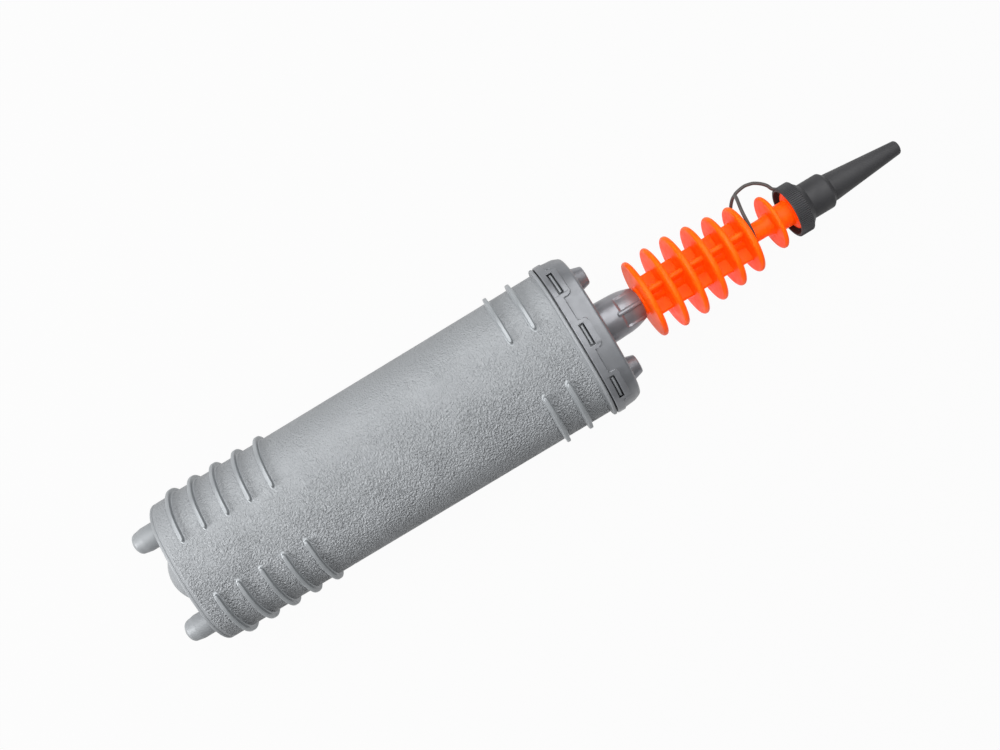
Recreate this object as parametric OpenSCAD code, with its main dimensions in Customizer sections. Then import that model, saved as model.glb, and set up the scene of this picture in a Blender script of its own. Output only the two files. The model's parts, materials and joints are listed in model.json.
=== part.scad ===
// Double-action hand air pump: an oval ribbed barrel that slides along a hollow rod.
// Each stroke, in or out, drives air through the piston, up the rod and out of the nozzle.
// The pump lies on its broad side: +X runs from the barrel's closed end to the nozzle,
// +Y points to the tether's side, +Z is up, and the origin is under the middle of the pump.

/* [Barrel] */
// Half the barrel's width across its broad side, at the closed end
body_half_width = 36.8; // [35:0.1:40]
// Length from the closed end to the rim that meets the cap
body_length = 213.6; // [180:0.1:240]
// How much further the wall stands out at the rim than at the closed end
body_draft = 0.7; // [0.2:0.1:1.2]
// Thickness of the barrel's wall
body_wall = 2.4; // [2:0.1:3]
// Thickness of the closed end
end_wall = 2.6; // [2:0.1:4]
// Radius of the edge round the closed end
end_edge = 1; // [0.8:0.1:1.9]
// Length of the neck that the cap snaps over
neck_length = 8.6; // [7.6:0.1:9]
// Thickness of the neck
neck_wall = 2.1; // [1.8:0.1:2.4]

/* [Barrel ribs] */
// How far the ribs stand out of the wall
rib_height = 2.4; // [1.6:0.1:3]
// Width of a rib
rib_width = 2.4; // [1.8:0.1:3]
// Angle on the broad sides' curve at which a rib stops; the plain strip lies beyond it
rib_stop = 80.4; // [78:0.1:84]
// Number of ribs near the closed end
grip_ribs = 5; // [2:1:8]
// Distance from the closed end to its first rib
grip_rib_start = 11.1; // [8:0.1:14]
// Spacing of the ribs near the closed end
grip_rib_pitch = 12; // [9:0.5:14]
// Number of ribs near the cap
mouth_ribs = 2; // [1:1:4]
// Distance from the rim back to its first rib
mouth_rib_start = 14.9; // [10:0.1:18]
// Spacing of the ribs near the cap
mouth_rib_pitch = 12.4; // [9:0.1:16]
// Width of the bead round the rim
bead_width = 2.6; // [2:0.1:3.4]
// How far the bead stands out of the wall
bead_height = 2.5; // [1.5:0.1:3]

/* [Closed-end valves] */
// Distance from the axis to each intake stub
stub_offset = 24.3; // [23.5:0.1:26]
// Radius of an intake stub
stub_radius = 6.2; // [6:0.1:6.5]
// Length of an intake stub, its rounded tip included
stub_length = 17.4; // [16:0.1:24]
// Radius of the round at a stub's tip
stub_round = 4.4; // [3:0.1:4.6]
// Radius of the air hole in a stub's tip
stub_hole = 1.5; // [1:0.1:1.6]
// Radius of the chamber inside a stub
stub_bore = 4.5; // [4.2:0.1:4.7]
// Radius of the dome's foot on the closed end
dome_foot = 16.5; // [15:0.1:16.8]
// Height of the dome
dome_height = 10.2; // [9:0.1:12]

/* [Cap] */
// Height of the cap from its lip to its face
cap_height = 13.2; // [12.8:0.1:16]
// Gap between the barrel's bead and the cap's lip
seam_gap = 0.5; // [0.3:0.1:0.8]
// Thickness of the cap's skirt
cap_wall = 2.2; // [2:0.1:2.8]
// Thickness of the cap's face
face_wall = 2.4; // [2:0.1:3]
// How much the skirt leans in towards the face
cap_draft = 0.7; // [0.2:0.1:0.9]
// Radius of the edge round the cap's face
cap_edge = 2.9; // [1:0.1:3]
// Height of the lip, from the seam
lip_height = 3.2; // [2.8:0.1:3.6]
// How far the lip stands out of the skirt
lip_rise = 0.6; // [0.4:0.1:1.2]
// Width of a snap window
window_width = 11.2; // [9:0.1:13]
// Height of a snap window
window_height = 2.7; // [2.4:0.1:3]
// Height of the lip left below a window
window_sill = 2.1; // [1.8:0.1:2.4]
// Distance from the middle window to each side window
window_spacing = 27.5; // [25:0.1:28]
// Width of the raised tab round a window
tab_width = 17; // [15:0.1:18]
// Height of the raised tab above the lip
tab_height = 4.4; // [4:0.1:5]

/* [Cap valves] */
// Distance from the axis to each cap stub
cap_stub_offset = 24.6; // [23.5:0.1:26]
// Radius of a cap stub at its foot
cap_stub_foot = 6.3; // [6:0.1:6.6]
// Radius of a cap stub at its tip
cap_stub_tip = 4.6; // [4.4:0.1:5]
// Height of a cap stub
cap_stub_height = 6.2; // [5.8:0.1:8]
// Radius of the air hole in a cap stub's tip
cap_stub_hole = 1.4; // [0.8:0.1:1.8]
// Radius of the chamber inside a cap stub
cap_stub_bore = 3.4; // [3:0.1:3.5]

/* [Rod guide] */
// Radius of the guide where it meets the cap
guide_foot = 10.9; // [10.4:0.1:11.6]
// Radius of the guide at its shoulder
guide_shoulder = 10.5; // [10:0.1:10.9]
// Length of the guide from the cap's face to its shoulder
guide_shoulder_length = 10.4; // [8:0.1:12]
// Length of the guide outside the cap
guide_length = 22.8; // [20:0.1:24]
// Radius of the curve that rounds the guide's nose
guide_curve = 28; // [26:0.5:40]
// Depth of the four panels sunk into the nose
panel_depth = 0.9; // [0.4:0.1:1.1]
// Half the width of the pair of panels on each broad side
panel_half_width = 7.8; // [6:0.1:8.6]
// Width of the rib between two panels
panel_rib = 1.5; // [1:0.1:2.4]
// Radius of the guide's spigot, which screws into the cap
guide_spigot = 8.9; // [8.6:0.1:9.2]

/* [Rod] */
// Radius of the rod
rod_radius = 5.5; // [5.2:0.1:5.6]
// Radius of the air passage in the rod
rod_bore = 3.5; // [3:0.1:3.8]
// Radius of the threaded tail that carries the piston
tail_radius = 4.8; // [4.6:0.1:5]
// Radius of the spigot that the grip is moulded on
spigot_radius = 4; // [3.8:0.1:4.1]
// Length of the spigot
spigot_length = 30; // [20:1:45]
// Radial clearance between the rod and its bush
rod_clearance = 0.06; // [0.03:0.01:0.09]

/* [Piston] */
// Thickness of each piston plate
plate_thickness = 3; // [2.4:0.1:4]
// Space between the two plates
plate_spacing = 7; // [6.6:0.1:8]
// Clearance round the plates in the barrel
plate_clearance = 0.4; // [0.2:0.1:0.8]
// Clearance between the seal's lips and the barrel
seal_clearance = 0.04; // [0.03:0.01:0.08]
// Distance from the barrel's floor to the piston, with the pump closed
piston_gap = 1.5; // [0.8:0.1:3]
// Number of delivery holes in each plate
port_count = 8; // [4:1:10]

/* [Valve pieces] */
// Thickness of a rubber valve disc or flap
disc_thickness = 1; // [0.8:0.1:1.2]
// How far a valve disc or flap lifts off its seat
disc_lift = 1.2; // [1:0.1:1.6]
// Clearance round a valve disc
disc_clearance = 0.4; // [0.3:0.1:0.6]
// Thickness of a cage that holds a valve disc in
cage_thickness = 2.4; // [1.6:0.1:3]

/* [Grip] */
// Spacing of the grip's flanges
flange_pitch = 11; // [9:0.1:13]
// Thickness of a flange at its rim
flange_rim = 2.6; // [2:0.1:3.2]
// Thickness of a flange at its root
flange_root = 3.2; // [3.2:0.1:4]
// Radius of the widest flanges
flange_radius = 21.2; // [18:0.1:24]
// Gap left between the guide's nose and the first flange
nose_gap = 0.5; // [0.4:0.1:1.5]
// Radius of the grip's core tube
core_radius = 5.3; // [5.1:0.1:6]
// Reach of the four webs from the axis
web_reach = 10.7; // [8:0.1:13]
// Thickness of a web
web_thickness = 2.6; // [2:0.1:4]
// Angle that the webs are turned round the rod
web_turn = -17; // [-45:1:45]
// Radius of the neck beyond the sixth flange
neck_radius = 4.7; // [4.4:0.1:5]
// Distance from the sixth flange to the end flange
end_flange_step = 15.6; // [15.4:0.1:18]
// Radius of the end flange
end_flange_radius = 13.9; // [12:0.1:15]
// Thickness of the end flange
end_flange_rim = 2.1; // [1.8:0.1:2.6]
// Radius of the stem that carries the thread
stem_radius = 6.4; // [6:0.1:7]
// Length of the stem, flare included
stem_length = 9.1; // [8.6:0.1:11]
// Length of the stem's flare
flare_length = 2.7; // [2:0.1:3.5]
// Radius of the threaded boss
boss_radius = 9.5; // [9:0.1:10]
// Length of the threaded boss
boss_length = 5.4; // [5:0.1:8]
// Radius of the air passage through the grip
grip_bore = 2.7; // [2:0.1:3]

/* [Nozzle] */
// Radius of the collar
collar_radius = 13.1; // [12.8:0.1:15]
// Thickness of the wall round the collar's mouth
collar_wall = 1.5; // [1.3:0.1:1.8]
// How far the collar's mouth covers the boss's flare
mouth_cover = 1.5; // [1:0.1:2]
// Number of ridges round the collar
knurl_count = 80; // [40:4:100]
// Depth of the ridges
knurl_depth = 0.3; // [0.1:0.05:0.4]
// Radius of the round behind the collar
collar_round = 3.1; // [2:0.1:3.4]
// Radius of the cylinder behind the collar
spigot_ring = 9.15; // [8.6:0.05:9.8]
// Length of that cylinder
spigot_ring_length = 11.5; // [9:0.1:14]
// Radius of the taper at its thick end
taper_radius = 7.1; // [6.4:0.1:7.6]
// Length of the taper, from the shoulder to the tip
taper_length = 37.5; // [30:0.5:50]
// Radius of the taper at its tip
tip_radius = 3.5; // [3.2:0.1:4.2]
// Radius of the air hole in the tip
tip_hole = 1.5; // [1.2:0.1:2.2]
// Thickness of the gasket in the collar
gasket_thickness = 1; // [0.8:0.1:1.4]
// Clearance round the boss in the collar's thread
thread_clearance = 0.1; // [0.05:0.01:0.15]

/* [Tether] */
// Thickness of the strap
strap_thickness = 1.6; // [1.2:0.1:1.8]
// Radius of the strap's bow
bow_radius = 12; // [11.8:0.1:12.4]
// Radius of the ring that hangs round the grip's neck
ring_radius = 13; // [12.8:0.1:13.4]
// Angle that the ring leans away from the flange
ring_lean = 8; // [6:0.5:9]

/* [Hidden] */
$fn = 96;
small = 48;        // $fn of small round features
eps = 0.5;         // overlap of joined shapes and reach of cutters past a face
fit = 0.02;        // gap between pieces that are pushed or glued together
contact = 0.3;     // gap between curved faces that only lie against each other

// The oval: round narrow sides and flatter broad sides, whose arcs meet at the tangent angle.
// The arcs join exactly where flat_centre is side_centre * tan(tangent) and radius_step is
// side_centre / cos(tangent), and these values are chosen so that all four are round numbers.
tangent = 76.1;
side_centre = 14.4784;
flat_centre = 58.5045;
radius_step = 60.2694;
side_radius = body_half_width - side_centre;
flat_radius = side_radius + radius_step;
body_half_depth = flat_radius - flat_centre;

// Offsets of each wall from the barrel's outline at the closed end
bore_offset = -body_wall;
neck_offset = bore_offset + neck_wall;
skirt_inner = neck_offset + 0.1;
skirt_outer = skirt_inner + cap_wall;
lip_offset = skirt_outer + cap_draft + lip_rise;
bead_offset = body_draft + bead_height;

// Stations along the axis, from the closed end's outer face
cap_start = body_length + seam_gap;
cap_end = cap_start + cap_height;
face_inner = cap_end - face_wall;
lip_end = cap_start + lip_height;
window_start = cap_start + window_sill;
neck_end = body_length + neck_length;
guide_shoulder_end = cap_end + guide_shoulder_length;
guide_end = cap_end + guide_length;
guide_start = face_inner - 5.4;
first_flange = guide_end + nose_gap + flange_root / 2;
sixth_flange = first_flange + 5 * flange_pitch;
end_flange = sixth_flange + end_flange_step;
stem_start = end_flange + end_flange_rim / 2;
boss_start = stem_start + stem_length;
boss_end = boss_start + boss_length;
collar_start = boss_start - mouth_cover;
gasket_start = boss_end + fit;
collar_floor = gasket_start + gasket_thickness + fit;
collar_end = collar_floor + 1.6;
shoulder_start = collar_end + spigot_ring_length;
nozzle_end = shoulder_start + 2.8 + taper_length;
rod_shoulder = first_flange - flange_root / 2;
spigot_end = rod_shoulder + spigot_length;

// Piston stations, with the pump closed
rear_plate = end_wall + piston_gap;
rear_face = rear_plate + plate_thickness;
front_face = rear_face + plate_spacing;
front_plate_end = front_face + plate_thickness;
frame_outer = bore_offset - 2.6;
frame_inner = frame_outer - 3;
spacer_radius = tail_radius + 1.5;
flap_inner = spacer_radius + disc_clearance;
flap_outer = body_half_depth + frame_inner - 1.2;
port_circle = (flap_inner + flap_outer) / 2 + 0.3;
port_radius = (flap_outer - flap_inner) * 0.24;
nut_thickness = 5.6;
nut_start = rear_plate - nut_thickness;
tail_end = nut_start - 0.6;

// Valve stations
dome_sphere = (dome_foot * dome_foot + dome_height * dome_height) / (2 * dome_height);
base_seat = -9;
base_cage = base_seat + disc_thickness + disc_lift;
cap_seat = cap_end + cap_stub_height - 1.8;
cap_cage = cap_seat - disc_thickness - disc_lift;

// Flange radii, from the guide to the end of the webs, as shares of the widest
flange_radii = [for (share = [0.95, 1, 1, 0.943, 0.88, 0.823]) share * flange_radius];

// The strap's bow is one arc from the collar's lug to the ring's top.
bow_end_angle = 121;
lug_reach = collar_radius + 1.1;
bow_start_height = collar_radius - 0.1;
bow_centre_station = collar_start - bow_radius * cos(bow_start_angle());
bow_centre_height = bow_start_height - bow_radius * sin(bow_start_angle());
ring_top_station = bow_centre_station + bow_radius * cos(bow_end_angle);
ring_top_height = bow_centre_height + bow_radius * sin(bow_end_angle);

// Pump length and the height of its axis when it lies on the cap's lip
pump_start = -stub_length;
middle = (pump_start + nozzle_end) / 2;
axis_height = body_half_depth + lip_offset;

silver = [0.62, 0.64, 0.65];
pewter = [0.48, 0.49, 0.51];
orange = [1, 0.36, 0.08];
charcoal = [0.2, 0.2, 0.21];
rubber = [0.12, 0.12, 0.13];
natural = [0.88, 0.87, 0.82];

function bow_start_angle() = 18.5;

// Turns a piece that is built along +Z, with its width along X, to its place in the pump.
module place() {
    translate([-middle, 0, axis_height]) rotate([90, 0, 90]) children();
}

// ---- The oval, and what is swept or filled along it ----

// Sweeps a profile, drawn as offset against station, all the way round the oval.
module oval_sweep() {
    for (turn = [0, 180]) rotate(turn) {
        translate([side_centre, 0, 0])
            rotate_extrude(start = -tangent, angle = 2 * tangent)
                translate([side_radius, 0]) children();
        translate([0, -flat_centre, 0])
            rotate_extrude(start = tangent, angle = 180 - 2 * tangent)
                translate([flat_radius, 0]) children();
    }
}

// Sweeps a profile round one narrow side and part of the way over both broad sides.
module side_sweep(stop) {
    run = stop - tangent;
    translate([side_centre, 0, 0])
        rotate_extrude(start = -tangent, angle = 2 * tangent) translate([side_radius, 0]) children();
    translate([0, -flat_centre, 0])
        rotate_extrude(start = tangent, angle = run) translate([flat_radius, 0]) children();
    translate([0, flat_centre, 0])
        rotate_extrude(start = -stop, angle = run) translate([flat_radius, 0]) children();
}

module oval_ring(outer, inner, from, to) {
    oval_sweep() translate([inner, from]) square([outer - inner, to - from]);
}

// A filled oval, its outline moved out by offset from the barrel's.
module oval_plate(offset, from, to) {
    core = flat_centre - 4;
    for (turn = [0, 180]) rotate(turn) {
        translate([side_centre, 0, from])
            rotate_extrude(start = -tangent, angle = 2 * tangent)
                square([side_radius + offset, to - from]);
        translate([0, -flat_centre, from])
            rotate_extrude(start = tangent, angle = 180 - 2 * tangent)
                translate([core, 0]) square([flat_radius + offset - core, to - from]);
    }
}

// Rounds the outer corner of a swept wall: the piece to take away, its corner at the origin.
module corner_cut(radius) {
    difference() {
        translate([-radius, -eps]) square([radius + eps, radius + eps]);
        translate([-radius, radius]) circle(radius);
    }
}

// A rib or bead: straight sides and a round crown, from inside the wall to its full height.
module crowned_rib(station, width, top) {
    translate([-eps, station - width / 2]) square([top - width / 2 + eps, width]);
    translate([top - width / 2, station]) circle(width / 2, $fn = small);
}

// ---- Barrel ----

function wall_offset(station) = body_draft * station / body_length;

module barrel_wall_profile() {
    difference() {
        polygon([
            [bore_offset, 0], [0, 0], [0, end_edge],
            [body_draft, body_length], [bore_offset, body_length]
        ]);
        corner_cut(end_edge);
    }
    translate([bore_offset, body_length - eps])
        square([neck_offset - bore_offset, neck_length + eps]);
}

module rib_end(station, top) {
    blunt = rib_width / 2 - 0.08;
    for (side = [0, 1]) mirror([0, side, 0])
        translate([0, -flat_centre, station]) rotate(rib_stop)
            translate([flat_radius - eps, 0, 0]) rotate([0, 90, 0]) {
                cylinder(r = blunt, h = top - blunt / 2 + eps, $fn = small);
                translate([0, 0, top - blunt / 2 + eps])
                    cylinder(r1 = blunt, r2 = blunt / 2, h = blunt / 2, $fn = small);
            }
}

module side_rib(station) {
    top = wall_offset(station) + rib_height;
    for (turn = [0, 180]) rotate(turn) {
        side_sweep(rib_stop) crowned_rib(station, rib_width, top);
        rib_end(station, top);
    }
}

// Six wedges on the neck, which catch in the cap's windows.
module snap_lugs() {
    catch = window_start + 0.1;
    rise = window_height - 0.4;
    intersection() {
        oval_sweep() polygon([
            [neck_offset - eps, catch], [skirt_outer, catch], [skirt_outer, catch + rise / 3],
            [neck_offset, catch + rise], [neck_offset - eps, catch + rise]
        ]);
        for (side = [-1, 0, 1])
            translate([side * window_spacing - window_width / 2 + 0.4, -2 * body_half_depth, catch - eps])
                cube([window_width - 0.8, 4 * body_half_depth, window_height + 2 * eps]);
    }
}

module stub_outside() {
    flat = stub_radius - stub_round;
    rotate_extrude() {
        translate([0, stub_round - stub_length])
            square([stub_radius, stub_length - stub_round + eps]);
        translate([0, -stub_length]) square([flat, stub_round + eps]);
        translate([flat, stub_round - stub_length]) intersection() {
            circle(stub_round);
            translate([0, -stub_round]) square(stub_round);
        }
    }
}

module stub_inside() {
    translate([0, 0, base_seat]) cylinder(r = stub_bore, h = end_wall - base_seat + eps);
    translate([0, 0, -stub_length - eps])
        cylinder(r = stub_hole, h = stub_length + base_seat + 2 * eps, $fn = small);
}

module barrel() {
    dome_centre = dome_sphere - dome_height;
    color(silver) place() difference() {
        union() {
            oval_sweep() barrel_wall_profile();
            oval_plate(bore_offset + eps, 0, end_wall);
            oval_sweep() crowned_rib(body_length - bead_width / 2, bead_width, bead_offset);
            for (i = [0 : grip_ribs - 1]) side_rib(grip_rib_start + i * grip_rib_pitch);
            for (i = [0 : mouth_ribs - 1])
                side_rib(body_length - mouth_rib_start - i * mouth_rib_pitch);
            snap_lugs();
            intersection() {
                translate([0, 0, dome_centre]) sphere(dome_sphere);
                translate([-dome_foot - 1, -dome_foot - 1, -dome_height - 1])
                    cube([2 * dome_foot + 2, 2 * dome_foot + 2, dome_height + 1 + end_wall / 2]);
            }
            for (side = [-1, 1]) translate([side * stub_offset, 0, 0]) stub_outside();
        }
        intersection() {
            translate([0, 0, dome_centre]) sphere(dome_sphere - body_wall);
            translate([-dome_foot, -dome_foot, -dome_height])
                cube([2 * dome_foot, 2 * dome_foot, dome_height + end_wall + eps]);
        }
        for (side = [-1, 1]) translate([side * stub_offset, 0, 0]) stub_inside();
    }
}

// ---- Cap ----

module cap_profile() {
    difference() {
        polygon([
            [skirt_inner, cap_start], [lip_offset, cap_start], [lip_offset, lip_end - 0.3],
            [lip_offset - 0.3, lip_end], [skirt_outer + cap_draft, lip_end],
            [skirt_outer, cap_end - cap_edge], [skirt_outer, cap_end], [skirt_inner - eps, cap_end],
            [skirt_inner - eps, face_inner], [skirt_inner, face_inner]
        ]);
        translate([skirt_outer, cap_end]) mirror([0, 1]) corner_cut(cap_edge);
    }
}

// The raised tab round a window: rounded above, and flared where it grows out of the lip.
module tab_outline() {
    half = tab_width / 2;
    corner = tab_height / 2 - 0.1;
    translate([-half + corner, -eps]) square([tab_width - 2 * corner, tab_height + eps]);
    translate([-half, -eps]) square([tab_width, tab_height - corner + eps]);
    for (side = [-1, 1]) {
        translate([side * (half - corner), tab_height - corner]) circle(corner, $fn = small);
        difference() {
            translate([side * (half + corner / 2), -eps / 2 + corner / 2])
                square([corner + 0.1, corner + eps], center = true);
            translate([side * (half + corner), corner]) circle(corner, $fn = small);
        }
    }
}

module window_tabs() {
    intersection() {
        oval_ring(lip_offset, skirt_outer - cap_wall / 2, lip_end - eps, face_inner);
        for (side = [-1, 0, 1])
            translate([side * window_spacing, 2 * body_half_depth, lip_end - 0.3])
                rotate([90, 0, 0]) linear_extrude(4 * body_half_depth) tab_outline();
    }
}

module cap_stub() {
    edge = 0.8;
    taper = (cap_stub_foot - cap_stub_tip) / cap_stub_height;
    translate([0, 0, cap_end - eps])
        cylinder(r1 = cap_stub_foot + eps * taper, r2 = cap_stub_tip + edge * taper,
            h = cap_stub_height - edge + eps);
    translate([0, 0, cap_end + cap_stub_height - edge])
        cylinder(r1 = cap_stub_tip + edge * taper, r2 = cap_stub_tip - edge / 2, h = edge);
}

module cap() {
    screw_boss = guide_spigot + 3;
    color(pewter) place() difference() {
        union() {
            oval_sweep() cap_profile();
            oval_plate(skirt_inner - eps / 2, face_inner, cap_end);
            window_tabs();
            translate([0, 0, guide_start]) cylinder(r = screw_boss, h = face_inner - guide_start + eps);
            for (side = [-1, 1]) translate([side * cap_stub_offset, 0, 0]) cap_stub();
        }
        for (side = [-1, 0, 1])
            translate([side * window_spacing - window_width / 2, -2 * body_half_depth, window_start])
                cube([window_width, 4 * body_half_depth, window_height]);
        translate([0, 0, guide_start - eps])
            cylinder(r = guide_spigot + fit, h = cap_end - guide_start + 2 * eps);
        for (side = [-1, 1]) translate([side * cap_stub_offset, 0, 0]) {
            translate([0, 0, face_inner - eps])
                cylinder(r = cap_stub_bore, h = cap_seat - face_inner + eps, $fn = small);
            translate([0, 0, cap_seat - eps])
                cylinder(r = cap_stub_hole, h = cap_end + cap_stub_height - cap_seat + 2 * eps, $fn = small);
        }
    }
}

// A flat oval gasket between the neck's end and the cap's face.
module cap_seal() {
    color(rubber) place() oval_ring(neck_offset, bore_offset, neck_end + fit, face_inner - fit);
}

// ---- Rod guide, its bush and seal ----

seal_pocket = rod_radius + 1.9;
washer_start = guide_start + 0.3;
washer_end = washer_start + 1;
seal_end = washer_end + fit + 3;
bush_end = cap_end + 1;

// The nose's outline, moved in by sink: a slight cone, then an arc that starts at its shoulder.
module nose_profile(sink) {
    arc_start = guide_shoulder_end - 1.2;
    polygon([
        [0, cap_end], [guide_foot - sink, cap_end],
        [guide_shoulder - sink, arc_start], [0, arc_start]
    ]);
    intersection() {
        translate([guide_shoulder - sink - guide_curve, arc_start]) circle(guide_curve, $fn = 360);
        translate([0, arc_start - eps]) square([guide_foot, guide_end - arc_start + eps]);
    }
}

// Two panels on each broad side, with a rib left between them.
module nose_panels() {
    intersection() {
        difference() {
            translate([0, 0, guide_shoulder_end])
                cylinder(r = guide_foot + 1, h = guide_end - guide_shoulder_end + eps);
            rotate_extrude() nose_profile(panel_depth);
        }
        for (side = [-1, 1])
            translate([side > 0 ? panel_rib / 2 : -panel_half_width, -guide_foot - 1, guide_shoulder_end])
                cube([panel_half_width - panel_rib / 2, 2 * guide_foot + 2, guide_length]);
    }
}

module rod_guide() {
    color(pewter) place() difference() {
        union() {
            rotate_extrude() nose_profile(0);
            translate([0, 0, guide_start])
                cylinder(r = guide_spigot, h = cap_end - guide_start + eps);
        }
        nose_panels();
        translate([0, 0, guide_start - eps])
            cylinder(r = rod_radius + contact, h = guide_end - guide_start + 2 * eps);
        translate([0, 0, guide_start - eps]) cylinder(r = seal_pocket, h = bush_end - guide_start + eps);
    }
}

module collar_ring(outer, inner, from, to) {
    translate([0, 0, from]) difference() {
        cylinder(r = outer, h = to - from);
        translate([0, 0, -eps]) cylinder(r = inner, h = to - from + 2 * eps);
    }
}

module rod_bush() {
    color(natural) place()
        collar_ring(seal_pocket - fit, rod_radius + rod_clearance, seal_end + fit, bush_end - fit);
}

// A lip seal: a square ring with a hollow back, whose lip runs on the rod.
module rod_seal() {
    lip = rod_radius + seal_clearance;
    back = seal_pocket - fit;
    start = washer_end + fit;
    color(rubber) place() rotate_extrude() polygon([
        [lip, start], [lip + 0.5, start], [lip + 0.7, seal_end - 1.2], [back - 0.6, seal_end - 1.2],
        [back - 0.5, start], [back, start], [back, seal_end], [lip + 0.3, seal_end],
        [lip + 0.3, start + 1.4], [lip, start + 0.9]
    ]);
}

module seal_washer() {
    color(natural) place()
        collar_ring(seal_pocket - fit, rod_radius + contact, washer_start, washer_end);
}

// ---- Intake valves ----

// A cage pushed into a stub: a rim, and a cross that stops the disc.
module valve_cage(outer, from) {
    rim = 1;
    bar = 1.2;
    collar_ring(outer - fit, outer - rim, from, from + cage_thickness);
    intersection() {
        translate([0, 0, from]) cylinder(r = outer - rim + rim / 2, h = bar);
        for (turn = [0, 90]) rotate(turn)
            translate([-outer, -bar / 2, from]) cube([2 * outer, bar, bar]);
    }
}

module valve_disc(radius, from) {
    translate([0, 0, from]) cylinder(r = radius, h = disc_thickness, $fn = small);
}

module base_valve_disc(side) {
    color(rubber) place() translate([side * stub_offset, 0, 0])
        valve_disc(stub_bore - disc_clearance, base_seat + fit);
}

module base_valve_disc_left() { base_valve_disc(1); }

module base_valve_disc_right() { base_valve_disc(-1); }

module base_valve_cages() {
    color(natural) place() for (side = [-1, 1])
        translate([side * stub_offset, 0, 0]) valve_cage(stub_bore, base_cage + 2 * fit);
}

module cap_valve_disc(side) {
    color(rubber) place() translate([side * cap_stub_offset, 0, 0])
        valve_disc(cap_stub_bore - disc_clearance, cap_seat - disc_thickness - fit);
}

module cap_valve_disc_left() { cap_valve_disc(1); }

module cap_valve_disc_right() { cap_valve_disc(-1); }

module cap_valve_cages() {
    color(natural) place() for (side = [-1, 1])
        translate([side * cap_stub_offset, 0, cap_cage - 2 * fit]) mirror([0, 0, 1])
            valve_cage(cap_stub_bore, 0);
}

// ---- Rod and piston ----

port_station = (rear_face + front_face) / 2;
flow_port = 1.5;

module rod() {
    flange = spacer_radius + 2.2;
    color(natural) place() difference() {
        union() {
            translate([0, 0, tail_end]) cylinder(r = tail_radius, h = front_plate_end - tail_end + eps);
            translate([0, 0, front_plate_end + fit]) cylinder(r = flange, h = 2.4);
            translate([0, 0, front_plate_end + fit])
                cylinder(r = rod_radius, h = rod_shoulder - front_plate_end - 2 * fit);
            translate([0, 0, rod_shoulder - eps])
                cylinder(r = spigot_radius, h = spigot_length + eps - fit);
        }
        translate([0, 0, port_station - flow_port - 1])
            cylinder(r = grip_bore, h = spigot_end - port_station + flow_port + 1 + eps);
        translate([0, 0, front_plate_end])
            cylinder(r = rod_bore, h = rod_shoulder - 4 - front_plate_end);
        for (turn = [0, 90]) rotate(turn)
            translate([-2 * tail_radius, 0, port_station]) rotate([0, 90, 0])
                cylinder(r = flow_port, h = 4 * tail_radius, $fn = small);
    }
}

module piston_plate(from) {
    difference() {
        oval_plate(bore_offset - plate_clearance, from, from + plate_thickness);
        translate([0, 0, from - eps]) cylinder(r = tail_radius + fit, h = plate_thickness + 2 * eps);
        for (i = [0 : port_count - 1]) rotate(i * 360 / port_count)
            translate([port_circle, 0, from - eps])
                cylinder(r = port_radius, h = plate_thickness + 2 * eps, $fn = small);
    }
}

module piston_rear_plate() { color(natural) place() piston_plate(rear_plate); }

module piston_front_plate() { color(natural) place() piston_plate(front_face); }

// The oval wall that keeps the plates apart and carries the seal.
module piston_frame() {
    color(natural) place() oval_ring(frame_outer, frame_inner, rear_face + fit, front_face - fit);
}

// A sleeve round the rod's tail, with windows that let the air into the rod.
module piston_spacer() {
    color(natural) place() difference() {
        translate([0, 0, rear_face + fit]) cylinder(r = spacer_radius, h = plate_spacing - 2 * fit);
        translate([0, 0, rear_face - eps]) cylinder(r = tail_radius + fit, h = plate_spacing + 2 * eps);
        for (turn = [0, 90]) rotate(turn)
            translate([-2 * tail_radius, 0, port_station]) rotate([0, 90, 0])
                cylinder(r = flow_port, h = 4 * tail_radius, $fn = small);
    }
}

// A ring with a lip at each end, so that it seals on both strokes.
module piston_seal() {
    lip = bore_offset - seal_clearance;
    root = frame_outer + fit;
    rear = rear_face + 0.2;
    front = front_face - 0.2;
    color(rubber) place() oval_sweep() polygon([
        [root, rear + 0.9], [root + 1, rear + 0.9], [lip - 0.7, rear], [lip, rear],
        [lip, rear + 0.8], [lip - 0.6, rear + 2], [lip - 0.6, front - 2], [lip, front - 0.8],
        [lip, front], [lip - 0.7, front], [root + 1, front - 0.9], [root, front - 0.9]
    ]);
}

module rear_delivery_flap() {
    color(rubber) place()
        collar_ring(flap_outer, flap_inner, rear_face + fit, rear_face + fit + disc_thickness);
}

module front_delivery_flap() {
    color(rubber) place()
        collar_ring(flap_outer, flap_inner, front_face - fit - disc_thickness, front_face - fit);
}

module piston_nut() {
    nut_radius = tail_radius + 3.6;
    color(natural) place() translate([0, 0, nut_start]) difference() {
        cylinder(r = nut_radius, h = nut_thickness - fit, $fn = 6);
        translate([0, 0, -eps]) cylinder(r = tail_radius + fit, h = nut_thickness + 2 * eps);
    }
}

// ---- Grip ----

// A flange whose sides thin towards a rounded rim.
module flange(station, radius, root, rim) {
    edge = rim / 2;
    translate([0, 0, station]) rotate_extrude() {
        polygon([[0, -root / 2], [radius - edge, -edge], [radius - edge, edge], [0, root / 2]]);
        translate([radius - edge, 0]) circle(edge, $fn = small);
    }
}

module webs() {
    rotate(web_turn) for (turn = [0, 90]) rotate(turn)
        translate([-web_reach, -web_thickness / 2, first_flange])
            cube([2 * web_reach, web_thickness, sixth_flange - first_flange]);
}

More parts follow.
